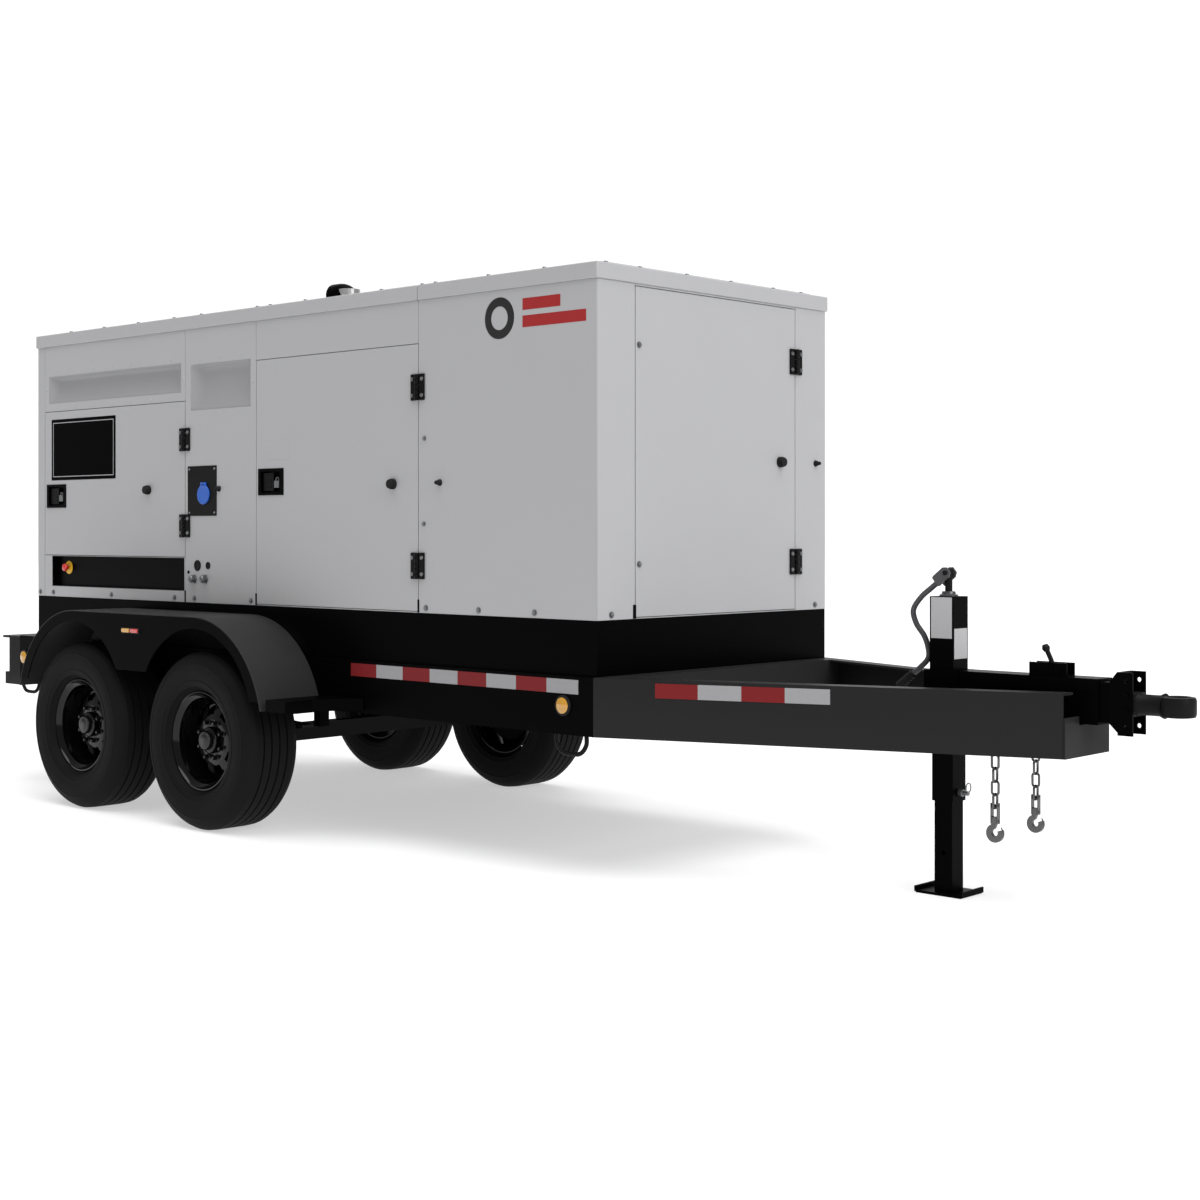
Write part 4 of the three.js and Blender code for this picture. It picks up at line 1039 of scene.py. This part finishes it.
add_lathe(bm, [(0, -0.014), (0.010, -0.012), (0.0145, 0), (0.010, 0.012), (0, 0.014)], (X(1.4795), 0, 0.917),
          (-0.4, 0, 0.9), sides=24)
piece("breakaway_arm", bm, BLACK, "breakaway_lever", replaces=["breakaway_lever"])
bm = bmesh.new()
for s in (-1, 1):
    add_lathe(bm, [(0, 0), (0.014, 0), (0.014, 0.003), (0, 0.003)], (X(LEVER_T), s * 0.030, 0.850), (0, s, 0), sides=24)
    for t in (1.452, 1.552):
        add_bolt(bm, (X(t), s * 0.030, 0.842), (0, s, 0), 0.007, 0.011)
piece("brake_bracket_bolts", bm, SATIN)

# ---- safety chains --------------------------------------------------------------------------------
CHAIN_X, CHAIN_Y, CHAIN_TOP, CHAIN_END = X(1.360), 0.142, 0.5477, 0.325
LINK, LINK_STEP = 0.060, 0.046  # a link's length, and the step from one to the next
HOOK_Z, HOOK_THICK = 0.267, 0.017


def chain(side, s):
    """Links turned a quarter from one to the next, and a hook with its clevis and gate."""
    body = f"safety_chain_{side}"
    bm = bmesh.new()
    z, across = CHAIN_TOP, True
    while z - LINK > CHAIN_END:
        path = []
        for c, sn in round_points(28):
            w = 0.0135 * c
            h = z - LINK / 2 + 0.0115 * sn + math.copysign(LINK / 2 - 0.0165, sn)
            path.append((CHAIN_X + (w if across else 0), s * CHAIN_Y + (0 if across else w), h))
        add_tube(bm, path, 0.0046, 10, closed=True)
        z -= LINK_STEP
        across = not across
    piece(f"chain_links_{side}", bm, CHAIN_STEEL, body, replaces=[body])
    centre = Vector((CHAIN_X, s * CHAIN_Y, HOOK_Z))
    outside = [(0.033 * c, 0.033 * sn) for c, sn in round_points(31, math.pi * 0.62, math.pi * 2.14)]
    throat = [(0.0125 * c + 0.001, 0.0125 * sn + 0.002) for c, sn in round_points(31, math.pi * 2.16, math.pi * 0.54)]
    line = outside + throat + [(0.010, 0.040), (0.010, 0.058), (-0.011, 0.058)]
    bm = bmesh.new()
    add_prism(bm, [centre + Vector((x, HOOK_THICK / -2, z)) for x, z in line], (0, HOOK_THICK, 0))
    piece(f"chain_hook_{side}", bm, CHAIN_STEEL, body, bevel=0.0040, segments=3)
    bm = bmesh.new()
    for dx in (-0.0145, 0.0105):
        add_box(bm, (centre.x + dx, centre.y - 0.010, 0.300), (centre.x + dx + 0.004, centre.y + 0.010, 0.373))
    for z in (0.3645, 0.311):
        add_rod(bm, (centre.x - 0.0175, centre.y, z), (centre.x + 0.0175, centre.y, z), 0.0050, 16)
    piece(f"chain_clevis_{side}", bm, CHAIN_STEEL, body, bevel=0.0012)
    gate = [centre + Vector(p) for p in ((0.024, 0, 0.022), (0.0325, 0, 0.004), (0.030, 0, -0.012))]
    tube(f"chain_hook_gate_{side}", DARK_STEEL, smooth_path(gate, 4), 0.0026, body, 8)


for side, s in SIDES:
    chain(side, s)

# ---- inside: engine, alternator, radiator, control panel, battery -----------------------------------
aft, fore = (corner.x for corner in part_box("engine"))
bm = bmesh.new()
for x in (aft + 0.16 + k * 0.145 for k in range(6)):
    add_rod(bm, (x, 0.09, 1.776), (x, 0.09, 1.802), 0.040, 24)
    add_rod(bm, (x, -0.149, 1.68), (x, -0.215, 1.71), 0.032, 20)
add_tube(bm, smooth_path([(aft + 0.12, -0.235, 1.70), (aft + 0.5, -0.245, 1.715), (fore - 0.15, -0.235, 1.70)]), 0.045,
         20)
for z in (1.20, 1.29):
    add_rod(bm, (aft + 0.30, -0.22, z), (aft + 0.30, -0.31, z), 0.045, 28)
add_box(bm, (aft + 0.55, -0.30, 1.22), (aft + 0.86, -0.219, 1.40))
piece("engine_dressing", bm, ENGINE, bevel=0.006)
bm = bmesh.new()
for y, z, r in ((-0.05, 1.45, 0.12), (0.14, 1.22, 0.09), (-0.05, 1.66, 0.07)):
    add_lathe(bm, [(0, 0), (r, 0), (r, 0.008), (r * 0.88, 0.014), (r, 0.020), (r, 0.028), (0, 0.028)],
              (fore + 0.002, y, z), AHEAD, sides=36)
piece("engine_pulleys", bm, DARK_STEEL)
bm = bmesh.new()
for x in (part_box("alternator")[0].x + 0.10 + k * 0.085 for k in range(9)):
    add_lathe(bm, [(0.268, 0), (0.277, 0.004), (0.277, 0.016), (0.268, 0.020)], (x, 0, 1.340), AHEAD, sides=48,
              closed=True)
piece("alternator_ribs", bm, ENGINE)
RADIATOR_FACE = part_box("radiator")[1].x
boxes("radiator_fins", CORE, [((RADIATOR_FACE - 0.088, y - 0.0015, 1.082), (RADIATOR_FACE - 0.060, y + 0.0015, 2.078))
                              for y in (-0.495 + 0.99 * k / 39 for k in range(40))], smooth=False)
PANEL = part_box("control_panel")
face_y = PANEL[0].y
boxes("panel_face", SATIN, [((PANEL[0].x + 0.02, face_y - 0.004, PANEL[0].z + 0.02),
                             (PANEL[1].x - 0.02, face_y + 0.001, PANEL[1].z - 0.02))], bevel=0.0015)
bm = bmesh.new()
for x in (PANEL[0].x + 0.13 + 0.16 * k for k in range(3)):
    add_lathe(bm, [(0, 0.004), (0.034, 0.004), (0.036, 0.010), (0.032, 0.010), (0.031, 0.006), (0, 0.006)],
              (x, face_y, 1.78), RIGHT, sides=36)
for x in (PANEL[0].x + 0.09 + 0.08 * k for k in range(6)):
    add_lathe(bm, [(0, 0.004), (0.010, 0.004), (0.010, 0.012), (0, 0.013)], (x, face_y, 1.47), RIGHT, sides=20)
piece("panel_gauges", bm, TRIM)
boxes("panel_display", WINDOW, [((PANEL[0].x + 0.17, face_y - 0.008, 1.54), (PANEL[1].x - 0.17, face_y - 0.003, 1.69))],
      bevel=0.001)
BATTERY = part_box("battery")
bm = bmesh.new()
for dx in (0.05, 0.17):
    post = (BATTERY[0].x + dx, BATTERY[0].y + 0.05)
    add_rod(bm, (*post, BATTERY[1].z - 0.001), (*post, BATTERY[1].z + 0.018), 0.010, 16)
piece("battery_posts", bm, DARK_STEEL)
